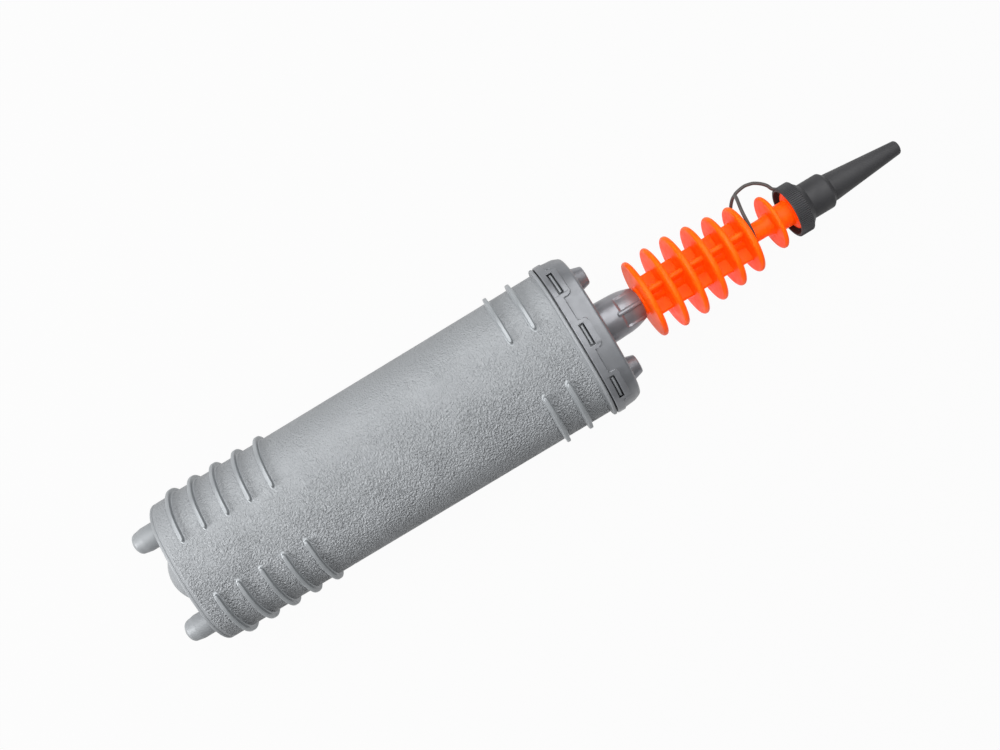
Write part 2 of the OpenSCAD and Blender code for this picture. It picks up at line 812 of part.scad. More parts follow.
module grip() {
    cone = 3.8;
    cone_end = end_flange - end_flange_rim / 2;
    color(orange) place() difference() {
        union() {
            for (i = [0 : 5])
                flange(first_flange + i * flange_pitch, flange_radii[i], flange_root, flange_rim);
            webs();
            translate([0, 0, first_flange]) cylinder(r = core_radius, h = sixth_flange - first_flange);
            translate([0, 0, sixth_flange]) cylinder(r = neck_radius, h = end_flange_step);
            translate([0, 0, cone_end - cone])
                cylinder(r1 = neck_radius, r2 = neck_radius + 1.1, h = cone + eps);
            flange(end_flange, end_flange_radius, end_flange_rim + 0.4, end_flange_rim);
            translate([0, 0, end_flange]) cylinder(r = stem_radius, h = boss_start - end_flange);
            translate([0, 0, boss_start - flare_length])
                cylinder(r1 = stem_radius, r2 = boss_radius, h = flare_length);
            translate([0, 0, boss_start - 0.01]) cylinder(r = boss_radius, h = boss_length + 0.01);
        }
        translate([0, 0, rod_shoulder - eps]) cylinder(r = spigot_radius + fit, h = spigot_length + eps);
        translate([0, 0, rod_shoulder]) cylinder(r = grip_bore, h = boss_end - rod_shoulder + eps);
    }
}

// ---- Nozzle and tether ----

// The ridged barrel of the collar, as one prism.
module knurl_outline() {
    step = 360 / knurl_count;
    root = collar_radius - knurl_depth;
    polygon([
        for (i = [0 : knurl_count - 1])
            each [
                root * [cos(i * step), sin(i * step)],
                collar_radius * [cos((i + 0.35) * step), sin((i + 0.35) * step)],
                collar_radius * [cos((i + 0.65) * step), sin((i + 0.65) * step)]
            ]
    ]);
}

module nozzle_outline() {
    shoulder = spigot_ring - taper_radius;
    round_start = collar_end - collar_round;
    taper_start = shoulder_start + 2.8;
    tip = tip_radius - tip_hole;
    polygon([[0, collar_start], [collar_radius - knurl_depth, collar_start],
        [collar_radius - knurl_depth, round_start], [0, round_start]]);
    translate([collar_radius - knurl_depth - collar_round, round_start]) {
        intersection() {
            circle(collar_round, $fn = small);
            square(2 * collar_round);
        }
        translate([-collar_radius + knurl_depth + collar_round, -eps])
            square([collar_radius - knurl_depth - collar_round, collar_round + eps]);
    }
    translate([0, collar_end - eps]) square([spigot_ring, spigot_ring_length + eps]);
    intersection() {
        translate([taper_radius, shoulder_start]) circle(shoulder, $fn = small);
        translate([0, shoulder_start - eps]) square([2 * spigot_ring, shoulder + eps]);
    }
    polygon([[0, shoulder_start - eps], [taper_radius, shoulder_start - eps], [taper_radius, taper_start],
        [tip_radius, nozzle_end - tip], [0, nozzle_end - tip]]);
    translate([tip_radius - tip, nozzle_end - tip]) intersection() {
        circle(tip, $fn = small);
        square(2 * tip);
    }
    translate([0, nozzle_end - tip - eps]) square([tip_radius - tip, tip + eps]);
}

module nozzle() {
    thread_start = boss_start + 1;
    throat = grip_bore + 1.5;
    tip_land = 8;
    color(charcoal) place() difference() {
        union() {
            rotate_extrude() nozzle_outline();
            translate([0, 0, collar_start + 0.6])
                linear_extrude(collar_end - collar_round - collar_start - 0.6) knurl_outline();
            translate([collar_radius - collar_wall, -1.5, collar_start])
                cube([lug_reach - collar_radius + collar_wall, 3, 2.4]);
        }
        translate([0, 0, collar_start - eps])
            cylinder(r = collar_radius - collar_wall, h = thread_start - collar_start + eps);
        translate([0, 0, collar_start])
            cylinder(r = boss_radius + thread_clearance, h = collar_floor - collar_start);
        translate([0, 0, collar_floor - eps])
            cylinder(r = throat, h = shoulder_start - 2 - collar_floor + eps);
        translate([0, 0, shoulder_start - 2.01])
            cylinder(r1 = throat, r2 = tip_hole, h = nozzle_end - tip_land - shoulder_start + 2.01);
        translate([0, 0, nozzle_end - tip_land - 0.01])
            cylinder(r = tip_hole, h = tip_land + eps, $fn = small);
    }
}

module nozzle_gasket() {
    color(rubber) place()
        collar_ring(boss_radius - contact, grip_bore + 1.3, gasket_start, gasket_start + gasket_thickness);
}

// A moulded strap: a bow from the collar's lug to a ring that hangs loose round the grip's neck.
module tether() {
    thick = strap_thickness / 2;
    ring_centre_height = ring_top_height - ring_radius * cos(ring_lean);
    ring_centre_station = ring_top_station - ring_radius * sin(ring_lean);
    color(charcoal) place() {
        translate([bow_centre_height, 0, bow_centre_station]) rotate([90, 0, 0]) mirror([0, 0, 1])
            difference() {
                rotate([0, 0, 90 - bow_end_angle])
                    rotate_extrude(angle = bow_end_angle - bow_start_angle() + 4)
                        translate([bow_radius, 0]) circle(thick, $fn = small);
                translate([-2 * bow_radius, collar_start - bow_centre_station - fit, -thick - 1])
                    cube([4 * bow_radius, bow_radius, strap_thickness + 2]);
            }
        translate([ring_centre_height, 0, ring_centre_station]) rotate([0, -ring_lean, 0])
            rotate_extrude() translate([ring_radius, 0]) circle(thick, $fn = small);
    }
}

barrel();
cap();
cap_seal();
rod_guide();
rod_bush();
rod_seal();
seal_washer();
base_valve_disc_left();
base_valve_disc_right();
base_valve_cages();
cap_valve_disc_left();
cap_valve_disc_right();
cap_valve_cages();
rod();
piston_rear_plate();
piston_front_plate();
piston_frame();
piston_spacer();
piston_seal();
rear_delivery_flap();
front_delivery_flap();
piston_nut();
grip();
nozzle();
nozzle_gasket();
tether();
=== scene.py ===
"""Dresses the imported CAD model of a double-action hand air pump for rendering.

Every piece is built along its own axis in millimetres (x across the broad side, y up, z along
the pump from its closed end) and is then laid in the frame's place.
"""

import json
import logging
import math
from dataclasses import dataclass
from enum import Enum
from typing import Iterable, Optional, Sequence

import bmesh
import bpy
from mathutils import Matrix, Vector


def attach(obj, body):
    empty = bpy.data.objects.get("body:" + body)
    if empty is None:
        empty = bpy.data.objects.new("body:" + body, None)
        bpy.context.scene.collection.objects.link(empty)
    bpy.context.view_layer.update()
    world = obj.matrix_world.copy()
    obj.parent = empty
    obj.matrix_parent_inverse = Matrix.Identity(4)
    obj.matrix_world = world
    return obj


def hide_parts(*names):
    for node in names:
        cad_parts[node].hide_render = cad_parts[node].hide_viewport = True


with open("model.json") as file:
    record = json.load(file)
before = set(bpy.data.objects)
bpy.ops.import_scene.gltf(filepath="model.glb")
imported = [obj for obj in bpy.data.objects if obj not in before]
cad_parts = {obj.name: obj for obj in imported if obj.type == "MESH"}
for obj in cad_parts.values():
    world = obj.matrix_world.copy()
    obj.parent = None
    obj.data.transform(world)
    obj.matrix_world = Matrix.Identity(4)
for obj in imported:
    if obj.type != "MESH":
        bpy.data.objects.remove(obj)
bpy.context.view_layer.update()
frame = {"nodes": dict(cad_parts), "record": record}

log = logging.getLogger("pump")
MM = 0.001
# How close two places in millimetres have to be to count as one
TOUCH = 1e-3
# How far inside its outline a swept end stops, to be closed by one flat face
END_INSET = 9.0
# The build axes: along the pump, and across its broad side
ALONG = Vector((0, 0, 1))
ACROSS = Vector((1, 0, 0))
Corner = tuple[float, float, float]
Point = tuple[float, float]


# ---------------------------------------------------------------------------------------------
# Sizes that several pieces share


@dataclass(frozen=True)
class Oval:
    """The barrel's outline: round narrow sides and flatter broad sides that meet tangent.

    The arcs meet at the angle tangent above the broad axis, and their radii differ by
    radius_step, which places their centres.
    """

    half_width: float = 36.8
    tangent: float = 76.1
    radius_step: float = 60.2694
    side_steps: int = 56
    flat_steps: int = 28

    @property
    def side_centre(self) -> float:
        """How far out the narrow sides' arcs have their centres."""
        return self.radius_step * math.cos(math.radians(self.tangent))

    @property
    def flat_centre(self) -> float:
        """How far behind the axis the broad sides' arcs have their centres."""
        return self.radius_step * math.sin(math.radians(self.tangent))

    @property
    def side_radius(self) -> float:
        """Radius of the narrow sides' arcs."""
        return self.half_width - self.side_centre

    @property
    def flat_radius(self) -> float:
        """Radius of the broad sides' arcs."""
        return self.side_radius + self.radius_step

    def height_at(self, across: float, offset: float) -> float:
        """Finds how high the outline stands over a point on the broad side.

        Args:
            across: distance from the axis across the broad side.
            offset: how far the outline is moved outwards.

        Returns:
            The height above the axis.
        """
        flat = self.flat_radius + offset
        side = self.side_radius + offset
        reach = abs(across)
        if reach <= flat * math.cos(math.radians(self.tangent)):
            return math.sqrt(flat * flat - reach * reach) - self.flat_centre
        inner = min(reach - self.side_centre, side)
        return math.sqrt(max(side * side - inner * inner, 0.0))


@dataclass(frozen=True)
class Layout:
    """Stations along the pump, and how its build axes lie in the frame."""

    middle: float = 187.695
    axis_height: float = 27.3865
    rim: float = 213.6
    neck_end: float = 222.2
    cap_start: float = 214.1
    cap_end: float = 227.3
    guide_end: float = 249.1
    first_flange: float = 252.2
    flange_pitch: float = 11.0
    end_flange: float = 322.8
    boss_start: float = 332.95
    boss_end: float = 338.35
    collar_start: float = 331.45
    collar_end: float = 340.99
    shoulder: float = 352.49
    tip: float = 392.79

    @property
    def place(self) -> Matrix:
        """The matrix that carries build axes in millimetres into the frame in metres."""
        return Matrix(
            (
                (0, 0, MM, -self.middle * MM),
                (MM, 0, 0, 0),
                (0, MM, 0, self.axis_height * MM),
                (0, 0, 0, 1),
            )
        )

    def at(self, station: float, across: float, up: float) -> Vector:
        """Gives a point of the pump in the frame, in metres."""
        return self.place @ Vector((across, up, station))


OVAL = Oval()
LAYOUT = Layout()


class Body(Enum):
    """The CAD bodies that pieces ride on."""

    BARREL = "barrel"
    ROD = "rod"
    NOZZLE = "nozzle"


# ---------------------------------------------------------------------------------------------
# Paths and bmesh shaping


def rounded(corners: Sequence[Corner], steps: int = 5, closed: bool = False) -> list[Point]:
    """Rounds the corners of a path.

    Args:
        corners: (x, y, radius) of each corner; radius 0 keeps it sharp.
        steps: segments in each round.
        closed: whether the last corner joins the first.

    Returns:
        The points of the rounded path.
    """
    out: list[Point] = []
    ends: set[int] = set()
    count = len(corners)
    most = 0.495  # of a side's length that one round may take
    straight = 1e-3  # radians short of a half turn that count as no corner
    for i, (x, y, radius) in enumerate(corners):
        here = Vector((x, y))
        if radius <= 0 or (not closed and i in (0, count - 1)):
            out.append((x, y))
            continue
        back = Vector(corners[i - 1][:2]) - here
        ahead = Vector(corners[(i + 1) % count][:2]) - here
        angle = back.angle(ahead)
        if angle > math.pi - straight:
            out.append((x, y))
            continue
        reach = min(radius / math.tan(angle / 2), most * back.length, most * ahead.length)
        radius = reach * math.tan(angle / 2)
        middle = (back.normalized() + ahead.normalized()).normalized()
        centre = here + middle * (radius / math.sin(angle / 2))
        start = here + back.normalized() * reach - centre
        end = here + ahead.normalized() * reach - centre
        first = math.atan2(start.y, start.x)
        swing = math.atan2(end.y, end.x) - first
        swing = (swing + math.pi) % (2 * math.pi) - math.pi
        ends.update((len(out), len(out) + steps))
        for k in range(steps + 1):
            a = first + swing * k / steps
            out.append((centre.x + radius * math.cos(a), centre.y + radius * math.sin(a)))
    return with_supports(out, ends)


def with_supports(points: Sequence[Point], ends: set[int]) -> list[Point]:
    """Adds a point close to each round's end, so that long flats stay flat when shaded smooth.

    Args:
        points: the path.
        ends: which of its points end a round.

    Returns:
        The path with the added points.
    """
    out: list[Point] = []
    near = 0.12
    shortest = 5 * near
    for i, here in enumerate(points):
        out.append(here)
        if i + 1 == len(points):
            break
        step = Vector(points[i + 1]) - Vector(here)
        if step.length < shortest:
            continue
        if i in ends:
            out.append(tuple(Vector(here) + step.normalized() * near))
        if i + 1 in ends:
            out.append(tuple(Vector(points[i + 1]) - step.normalized() * near))
    return out


def arc(centre: Point, radius: float, start: float, end: float, steps: int) -> list[Point]:
    """Gives points along an arc.

    Args:
        centre: the arc's centre.
        radius: its radius.
        start: first angle, in degrees.
        end: last angle, in degrees.
        steps: number of segments.

    Returns:
        The points, both ends included.
    """
    angles = [math.radians(start + (end - start) * k / steps) for k in range(steps + 1)]
    return [(centre[0] + radius * math.cos(a), centre[1] + radius * math.sin(a)) for a in angles]


def eased(value: float, low: float, high: float) -> float:
    """Eases from 0 at low to 1 at high."""
    share = max(0.0, min(1.0, (value - low) / (high - low)))
    return share * share * (3 - 2 * share)


def through(points: Sequence[Vector], steps: int) -> list[Vector]:
    """Draws a smooth curve through points.

    Args:
        points: the points, in order.
        steps: segments between each two.

    Returns:
        The curve's points.
    """
    ends = [2 * points[0] - points[1], *points, 2 * points[-1] - points[-2]]
    out: list[Vector] = []
    for a, b, c, d in zip(ends, ends[1:], ends[2:], ends[3:]):
        slope = c - a
        bend = 2 * a - 5 * b + 4 * c - d
        twist = 3 * b - a - 3 * c + d
        for t in (k / steps for k in range(steps)):
            out.append(0.5 * (2 * b + slope * t + bend * t**2 + twist * t**3))
    return out + [points[-1]]


def verts_in(geom: Iterable[object]) -> list[bmesh.types.BMVert]:
    """Picks the vertices out of what an operator gives back."""
    return [g for g in geom if isinstance(g, bmesh.types.BMVert)]


def edges_in(geom: Iterable[object]) -> list[bmesh.types.BMEdge]:
    """Picks the edges out of what an operator gives back."""
    return [g for g in geom if isinstance(g, bmesh.types.BMEdge)]


class Blank:
    """A bmesh being shaped in build axes, in millimetres."""

    def __init__(self) -> None:
        """Starts an empty mesh."""
        self.bm = bmesh.new()

    def path(self, points: Iterable[Vector], closed: bool = False) -> list[bmesh.types.BMVert]:
        """Adds a chain of vertices and edges.

        Args:
            points: the chain's points.
            closed: whether the last joins the first.

        Returns:
            The chain's vertices.
        """
        verts = [self.bm.verts.new(p) for p in points]
        for a, b in zip(verts, verts[1:]):
            self.bm.edges.new((a, b))
        if closed:
            self.bm.edges.new((verts[-1], verts[0]))
        return verts

    def spin(
        self,
        geom: Sequence[object],
        centre: Vector,
        axis: Vector,
        degrees: float,
        steps: int,
        lift: float = 0.0,
    ) -> list[object]:
        """Spins geometry about an axis.

        Args:
            geom: the vertices and edges to spin.
            centre: a point on the axis.
            axis: the axis's direction.
            degrees: how far to turn.
            steps: number of segments.
            lift: how far to move along the build axis at each step.

        Returns:
            The geometry at the end of the turn.
        """
        done = bmesh.ops.spin(
            self.bm,
            geom=list(geom),
            cent=centre,
            axis=axis,
            dvec=Vector((0, 0, lift)),
            angle=math.radians(degrees),
            steps=steps,
            use_merge=abs(degrees) >= 360 and not lift,
            use_normal_flip=False,
            use_duplicate=False,
        )
        return done["geom_last"]

    @staticmethod
    def chain(verts: Sequence[bmesh.types.BMVert]) -> list[object]:
        """Gathers vertices and the edges that run between them.

        Args:
            verts: the chain's vertices.

        Returns:
            The vertices and edges.
        """
        mine = set(verts)
        edges = {e for v in verts for e in v.link_edges if e.other_vert(v) in mine}
        return list(verts) + list(edges)

    def made_since(self, before: set[bmesh.types.BMVert]) -> list[bmesh.types.BMVert]:
        """Lists the vertices that weren't there before."""
        return [v for v in self.bm.verts if v not in before]

    def weld(self, before: set[bmesh.types.BMVert], near: float) -> list[bmesh.types.BMVert]:
        """Joins new vertices that lie together.

        Args:
            before: the vertices that were there before.
            near: how close two have to lie to become one.

        Returns:
            The new vertices that are left.
        """
        bmesh.ops.remove_doubles(self.bm, verts=self.made_since(before), dist=near)
        return self.made_since(before)

    def bevel(self, edges: Iterable[bmesh.types.BMEdge], width: float, segments: int) -> None:
        """Rounds edges.

        Args:
            edges: the edges to round.
            width: how far the round reaches from each edge.
            segments: number of segments across it.
        """
        bmesh.ops.bevel(
            self.bm,
            geom=list(edges),
            offset=width,
            offset_type="OFFSET",
            segments=segments,
            profile=0.5,
            affect="EDGES",
            material=-1,
        )

    def lathe(
        self, outline: Sequence[Point], across: float = 0.0, up: float = 0.0, steps: int = 96
    ) -> list[bmesh.types.BMVert]:
        """Turns an outline of (radius, station) points about an axis along the pump.

        Args:
            outline: the points, which may start or end on the axis.
            across: where the axis lies across the broad side.
            up: where it lies in height.
            steps: segments round the axis.

        Returns:
            The vertices made.
        """
        before = set(self.bm.verts)
        verts = self.path(Vector((max(r, 0.0) + across, up, s)) for r, s in outline)
        self.spin(self.chain(verts), Vector((across, up, 0)), ALONG, 360, steps)
        return self.weld(before, TOUCH / 10)

    def oval(
        self, section: Sequence[Point], closed: bool = False, oval: Oval = OVAL
    ) -> list[bmesh.types.BMVert]:
        """Sweeps a section of (offset, station) points all the way round the oval.

        Args:
            section: the points of the section.
            closed: whether the section is a closed loop.
            oval: the outline to follow.

        Returns:
            The vertices made.
        """
        before = set(self.bm.verts)
        tilt = math.radians(-oval.tangent)
        profile = [(oval.side_radius + offset, station) for offset, station in section]
        verts = self.path(
            (
                Vector((oval.side_centre + r * math.cos(tilt), r * math.sin(tilt), station))
                for r, station in profile
            ),
            closed,
        )
        geom = self.chain(verts)
        side, flat = 2 * oval.tangent, 180 - 2 * oval.tangent
        for centre, degrees, steps in (
            (Vector((oval.side_centre, 0, 0)), side, oval.side_steps),
            (Vector((0, -oval.flat_centre, 0)), flat, oval.flat_steps),
            (Vector((-oval.side_centre, 0, 0)), side, oval.side_steps),
            (Vector((0, oval.flat_centre, 0)), flat, oval.flat_steps),
        ):
            geom = self.spin(geom, centre, ALONG, degrees, steps)
        return self.weld(before, TOUCH)

    def cord(
        self,
        points: Sequence[Vector],
        radius: float,
        keep: Vector,
        closed: bool = False,
        around: int = 16,
    ) -> None:
        """Draws a round cord along points.

        Args:
            points: the cord's centre line.
            radius: the cord's radius.
            keep: a direction that the cord never runs along, which keeps it from twisting.
            closed: whether the cord joins up.
            around: number of segments round the cord.
        """

        def frame_at(i: int) -> Matrix:
            """Gives the matrix that stands a circle across the cord at a point.

            Args:
                i: the point's number.

            Returns:
                The matrix.
            """
            count = len(points)
            ahead = points[(i + 1) % count] if closed or i + 1 < count else points[i]
            back = points[i - 1] if closed or i else points[i]
            along = (ahead - back).normalized()
            side = along.cross(keep).normalized()
            turned = Matrix((side, along.cross(side), along)).transposed().to_4x4()
            return Matrix.Translation(points[i]) @ turned

        before = set(self.bm.verts)
        at = frame_at(0)
        ring = bmesh.ops.create_circle(self.bm, segments=around, radius=radius, matrix=at)["verts"]
        edges = edges_in(self.chain(ring))
        if not closed:
            bmesh.ops.contextual_create(self.bm, geom=self.chain(ring))
        for i in [*range(1, len(points)), *([0] if closed else [])]:
            done = bmesh.ops.extrude_edge_only(self.bm, edges=edges)["geom"]
            ring = verts_in(done)
            edges = edges_in(self.chain(ring))
            bmesh.ops.transform(self.bm, matrix=frame_at(i) @ at.inverted(), verts=ring)
            at = frame_at(i)
        if closed:
            self.weld(before, TOUCH)
        else:
            bmesh.ops.contextual_create(self.bm, geom=self.chain(ring))

    def open_edges(self, station: Optional[float] = None) -> list[bmesh.types.BMEdge]:
        """Lists the edges that have a face on one side only.

        Args:
            station: where along the pump to look; everywhere if it is left out.

        Returns:
            The open edges.
        """
        edges = [e for e in self.bm.edges if e.is_boundary]
        if station is None:
            return edges
        return [e for e in edges if all(abs(v.co.z - station) < TOUCH for v in e.verts)]

    def cut(self, point: Vector, normal: Vector, faces: Iterable[bmesh.types.BMFace]) -> None:
        """Cuts faces along a plane without parting them.

        Args:
            point: a point on the plane.
            normal: the plane's normal.
            faces: the faces to cut.
        """
        mine = set(faces)
        edges = {e for f in mine for e in f.edges}
        verts = {v for f in mine for v in f.verts}
        bmesh.ops.bisect_plane(
            self.bm,
            geom=list(mine) + list(edges) + list(verts),
            dist=1e-5,
            plane_co=point,
            plane_no=normal,
        )

    def keep_slab(self, axis: Vector, low: float, high: float) -> None:
        """Keeps what lies between two planes and closes the cuts.

        Args:
            axis: the planes' normal.
            low: where the first plane lies along it.
            high: where the second lies.
        """
        for bound, outward in ((low, -axis), (high, axis)):
            geom = list(self.bm.verts) + list(self.bm.edges) + list(self.bm.faces)
            done = bmesh.ops.bisect_plane(
                self.bm,
                geom=geom,
                dist=1e-5,
                plane_co=axis * bound,
                plane_no=outward,
                clear_outer=True,
            )
            bmesh.ops.holes_fill(self.bm, edges=edges_in(done["geom_cut"]), sides=0)

    def copy_turned(self, verts: Sequence[bmesh.types.BMVert], degrees: float) -> None:
        """Copies geometry turned about the pump's axis.

        Args:
            verts: the vertices to copy, with the faces between them.
            degrees: how far to turn the copy.
        """
        mine = set(verts)
        faces = [f for f in self.bm.faces if all(v in mine for v in f.verts)]
        edges = {e for f in faces for e in f.edges}
        done = bmesh.ops.duplicate(self.bm, geom=list(verts) + list(edges) + faces)
        turn = Matrix.Rotation(math.radians(degrees), 3, "Z")
        bmesh.ops.rotate(self.bm, verts=verts_in(done["geom"]), cent=Vector(), matrix=turn)

    def finish(
        self,
        name: str,
        body: Body,
        material: bpy.types.Material,
        replaces: Sequence[str] = (),
        crease: float = 38.0,
        outward: bool = True,
    ) -> bpy.types.Object:
        """Makes the finished piece and fastens it to its CAD body.

        Args:
            name: the piece's name.
            body: the CAD body it rides on.
            material: its finish.
            replaces: the CAD nodes that it stands for.
            crease: edges sharper than this many degrees stay sharp.
            outward: whether to turn every face outwards.

        Returns:
            The finished object.
        """
        if outward:
            bmesh.ops.recalc_face_normals(self.bm, faces=list(self.bm.faces))
        self.bm.transform(LAYOUT.place)
        mesh = bpy.data.meshes.new(name)
        self.bm.to_mesh(mesh)
        self.bm.free()
        mesh.shade_smooth()
        mesh.set_sharp_from_angle(angle=math.radians(crease))
        mesh.materials.append(material)
        piece = bpy.data.objects.new(name, mesh)
        bpy.context.scene.collection.objects.link(piece)
        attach(piece, body.value)
        if replaces:
            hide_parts(*replaces)
        log.info("%s: %d faces on %s", name, len(mesh.polygons), body.value)
        return piece


# ---------------------------------------------------------------------------------------------
# Finishes


class Graph:
    """A short way to wire a material's nodes."""

    def __init__(self, name: str) -> None:
        """Starts a material that has only its shader and output.

        Args:
            name: the material's name.
        """
        self.material = bpy.data.materials.new(name)
        self.material.use_nodes = True
        self.tree = self.material.node_tree
        self.shader = self.tree.nodes["Principled BSDF"]
        self.coords = self.tree.nodes.new("ShaderNodeTexCoord").outputs["Object"]

    def node(
        self, kind: str, inputs: Optional[dict[object, object]] = None, **settings: object
    ) -> bpy.types.Node:
        """Adds a node.

        Args:
            kind: the node's type name.
            inputs: socket name or number to a value or to another node's output.
            settings: properties of the node itself.

        Returns:
            The node.
        """
        made = self.tree.nodes.new(kind)
        for key, value in settings.items():
            setattr(made, key, value)
        for key, value in (inputs or {}).items():
            if isinstance(value, bpy.types.NodeSocket):
                self.tree.links.new(value, made.inputs[key])
            else:
                made.inputs[key].default_value = value
        return made

    def math(
        self, operation: str, a: object, b: object = 0.0, clamp: bool = False
    ) -> bpy.types.NodeSocket:
        """Adds a Math node and gives its output.

        Args:
            operation: the node's operation.
            a: first value or socket.
            b: second value or socket.
            clamp: whether to clamp to 0..1.

        Returns:
            The result's socket.
        """
        made = self.node("ShaderNodeMath", {0: a, 1: b}, operation=operation, use_clamp=clamp)
        return made.outputs[0]

    def ramp(
        self, value: object, low: float, high: float, to_low: float, to_high: float
    ) -> bpy.types.NodeSocket:
        """Maps a range of values smoothly onto another.

        Args:
            value: the value's socket.
            low: start of the range.
            high: end of the range.
            to_low: result at its start.
            to_high: result at its end.

        Returns:
            The mapped value's socket.
        """
        made = self.node(
            "ShaderNodeMapRange",
            {"Value": value, "From Min": low, "From Max": high, "To Min": to_low, "To Max": to_high},
            interpolation_type="SMOOTHSTEP",
        )
        return made.outputs["Result"]

    def noise(
        self,
        size: float,
        detail: float = 3.0,
        stretch: Sequence[float] = (1.0, 1.0, 1.0),
        warp: float = 0.0,
    ) -> bpy.types.NodeSocket:
        """Adds noise whose grains are about size millimetres across.

        Args:
            size: grain size.
            detail: octaves.
            stretch: how much longer the grains are along X, Y and Z.
            warp: how much the grains are twisted.

        Returns:
            The noise's socket.
        """
        scale = [1 / s for s in stretch]
        moved = self.node("ShaderNodeMapping", {"Vector": self.coords, "Scale": scale})
        made = self.node(
            "ShaderNodeTexNoise",
            {
                "Vector": moved.outputs[0],
                "Scale": 1 / (size * MM),
                "Detail": detail,
                "Distortion": warp,
            },
        )
        return made.outputs[0]

    def cells(self, size: float, smooth: float = 0.6) -> bpy.types.NodeSocket:
        """Adds rounded cells about size millimetres across.

        Args:
            size: cell size.
            smooth: how soft the cells' borders are.

        Returns:
            The distance socket.
        """
        made = self.node(
            "ShaderNodeTexVoronoi",
            {"Vector": self.coords, "Scale": 1 / (size * MM), "Smoothness": smooth},
            feature="SMOOTH_F1",
        )
        return made.outputs["Distance"]

    def bump(
        self, height: object, depth: float, normal: Optional[bpy.types.NodeSocket] = None
    ) -> bpy.types.NodeSocket:
        """Adds a bump.

        Args:
            height: the height's socket, from 0 to 1.
            depth: how many millimetres a height of 1 stands.
            normal: the normal of a bump beneath it.

        Returns:
            The bent normal's socket.
        """
        inputs: dict[object, object] = {"Height": height, "Distance": depth * MM, "Strength": 1.0}
        if normal is not None:
            inputs["Normal"] = normal
        return self.node("ShaderNodeBump", inputs).outputs[0]

    def set(self, **sockets: object) -> None:
        """Sets or links the shader's sockets.

        Args:
            sockets: each socket's value or another node's output, with the socket's name
                written with underscores for spaces.
        """
        for key, value in sockets.items():
            socket = self.shader.inputs[key.replace("_", " ")]
            if isinstance(value, bpy.types.NodeSocket):
                self.tree.links.new(value, socket)
            else:
                socket.default_value = value

    def tint(
        self, low: Sequence[float], high: Sequence[float], factor: object
    ) -> bpy.types.NodeSocket:
        """Mixes two colours.

        Args:
            low: colour where the factor is 0.
            high: colour where it is 1.
            factor: the factor's socket.

        Returns:
            The colour's socket.
        """
        made = self.node("ShaderNodeMix", {"Factor": factor}, data_type="RGBA")
        made.inputs[6].default_value = (*low, 1)
        made.inputs[7].default_value = (*high, 1)
        return made.outputs[2]

    def edges(self) -> bpy.types.NodeSocket:
        """Gives a value that is over 0.5 on outward edges and under it in hollows."""
        return self.node("ShaderNodeNewGeometry").outputs["Pointiness"]


def srgb(red: int, green: int, blue: int) -> tuple[float, float, float]:
    """Turns a screen colour into the linear values that shaders take."""
    return tuple(
        c / 12.92 if c <= 0.04045 else ((c + 0.055) / 1.055) ** 2.4
        for c in (red / 255, green / 255, blue / 255)
    )


@dataclass(frozen=True)
class SilverPlastic:
    """The barrel's silver-grey plastic, grained on its plain walls."""

    name: str
    grain: bool
    low: tuple[int, int, int] = (138, 141, 144)
    high: tuple[int, int, int] = (154, 157, 160)
    roughness: float = 0.46
    metallic: float = 0.15
    specular: float = 0.35
    drift_size: float = 24.0
    flake_size: float = 0.35
    wear: float = 0.35
    fold_size: float = 1.25
    cell_size: float = 0.95
    swell_size: float = 18.0
    grain_depth: float = 0.62
    grain_start: float = 2.4
    grain_margin: float = 4.2
    grain_fade: float = 0.8

    def make(self) -> bpy.types.Material:
        """Builds the material.

        Returns:
            The material.
        """
        g = Graph(self.name)
        drift = g.math("MULTIPLY", g.noise(self.drift_size, 2.0), 0.6)
        flake = g.math("MULTIPLY", g.noise(self.flake_size, 1.0), 0.4)
        worn = g.ramp(g.edges(), 0.52, 0.62, 0.0, self.wear)
        tone = g.math("ADD", g.math("ADD", drift, flake), worn, clamp=True)
        rough = (self.roughness - 0.04, self.roughness + 0.06)
        fine = g.bump(g.noise(0.9, 3.0), 0.03)
        g.set(
            Base_Color=g.tint(srgb(*self.low), srgb(*self.high), tone),
            Metallic=self.metallic,
            Specular_IOR_Level=self.specular,
            Roughness=g.ramp(g.noise(5.0, 3.0), 0.3, 0.7, *rough),
            Normal=g.bump(self.grain_height(g), self.grain_depth, fine) if self.grain else fine,
        )
        return g.material

    def grain_height(self, g: Graph) -> bpy.types.NodeSocket:
        """Wires the leather-like grain: folds over cells, on the plain wall only.

        Args:
            g: the material's graph.

        Returns:
            The grain's height.
        """
        fold = g.math("ABSOLUTE", g.math("SUBTRACT", g.noise(self.fold_size, 1.0, warp=0.5), 0.5))
        cell = g.math("MULTIPLY", g.cells(self.cell_size), 0.7)
        pebble = g.math("ADD", g.math("MULTIPLY", fold, -1.7), cell)
        along, across, _ = g.node("ShaderNodeSeparateXYZ", {0: g.coords}).outputs
        patches = g.ramp(g.noise(self.swell_size, 2.0), 0.3, 0.7, 0.65, 1.0)
        coarser = g.ramp(across, -30 * MM, 20 * MM, 2.2, 0.7)
        swell = g.math("MULTIPLY", patches, coarser)
        start = (self.grain_start - LAYOUT.middle) * MM
        stop = (LAYOUT.rim - self.grain_margin - LAYOUT.middle) * MM
        fade = self.grain_fade * MM
        mask = g.math(
            "MULTIPLY",
            g.ramp(along, start, start + fade, 0.0, 1.0),
            g.ramp(along, stop, stop + fade, 1.0, 0.0),
        )
        return g.math("MULTIPLY", g.math("MULTIPLY", pebble, swell), mask)


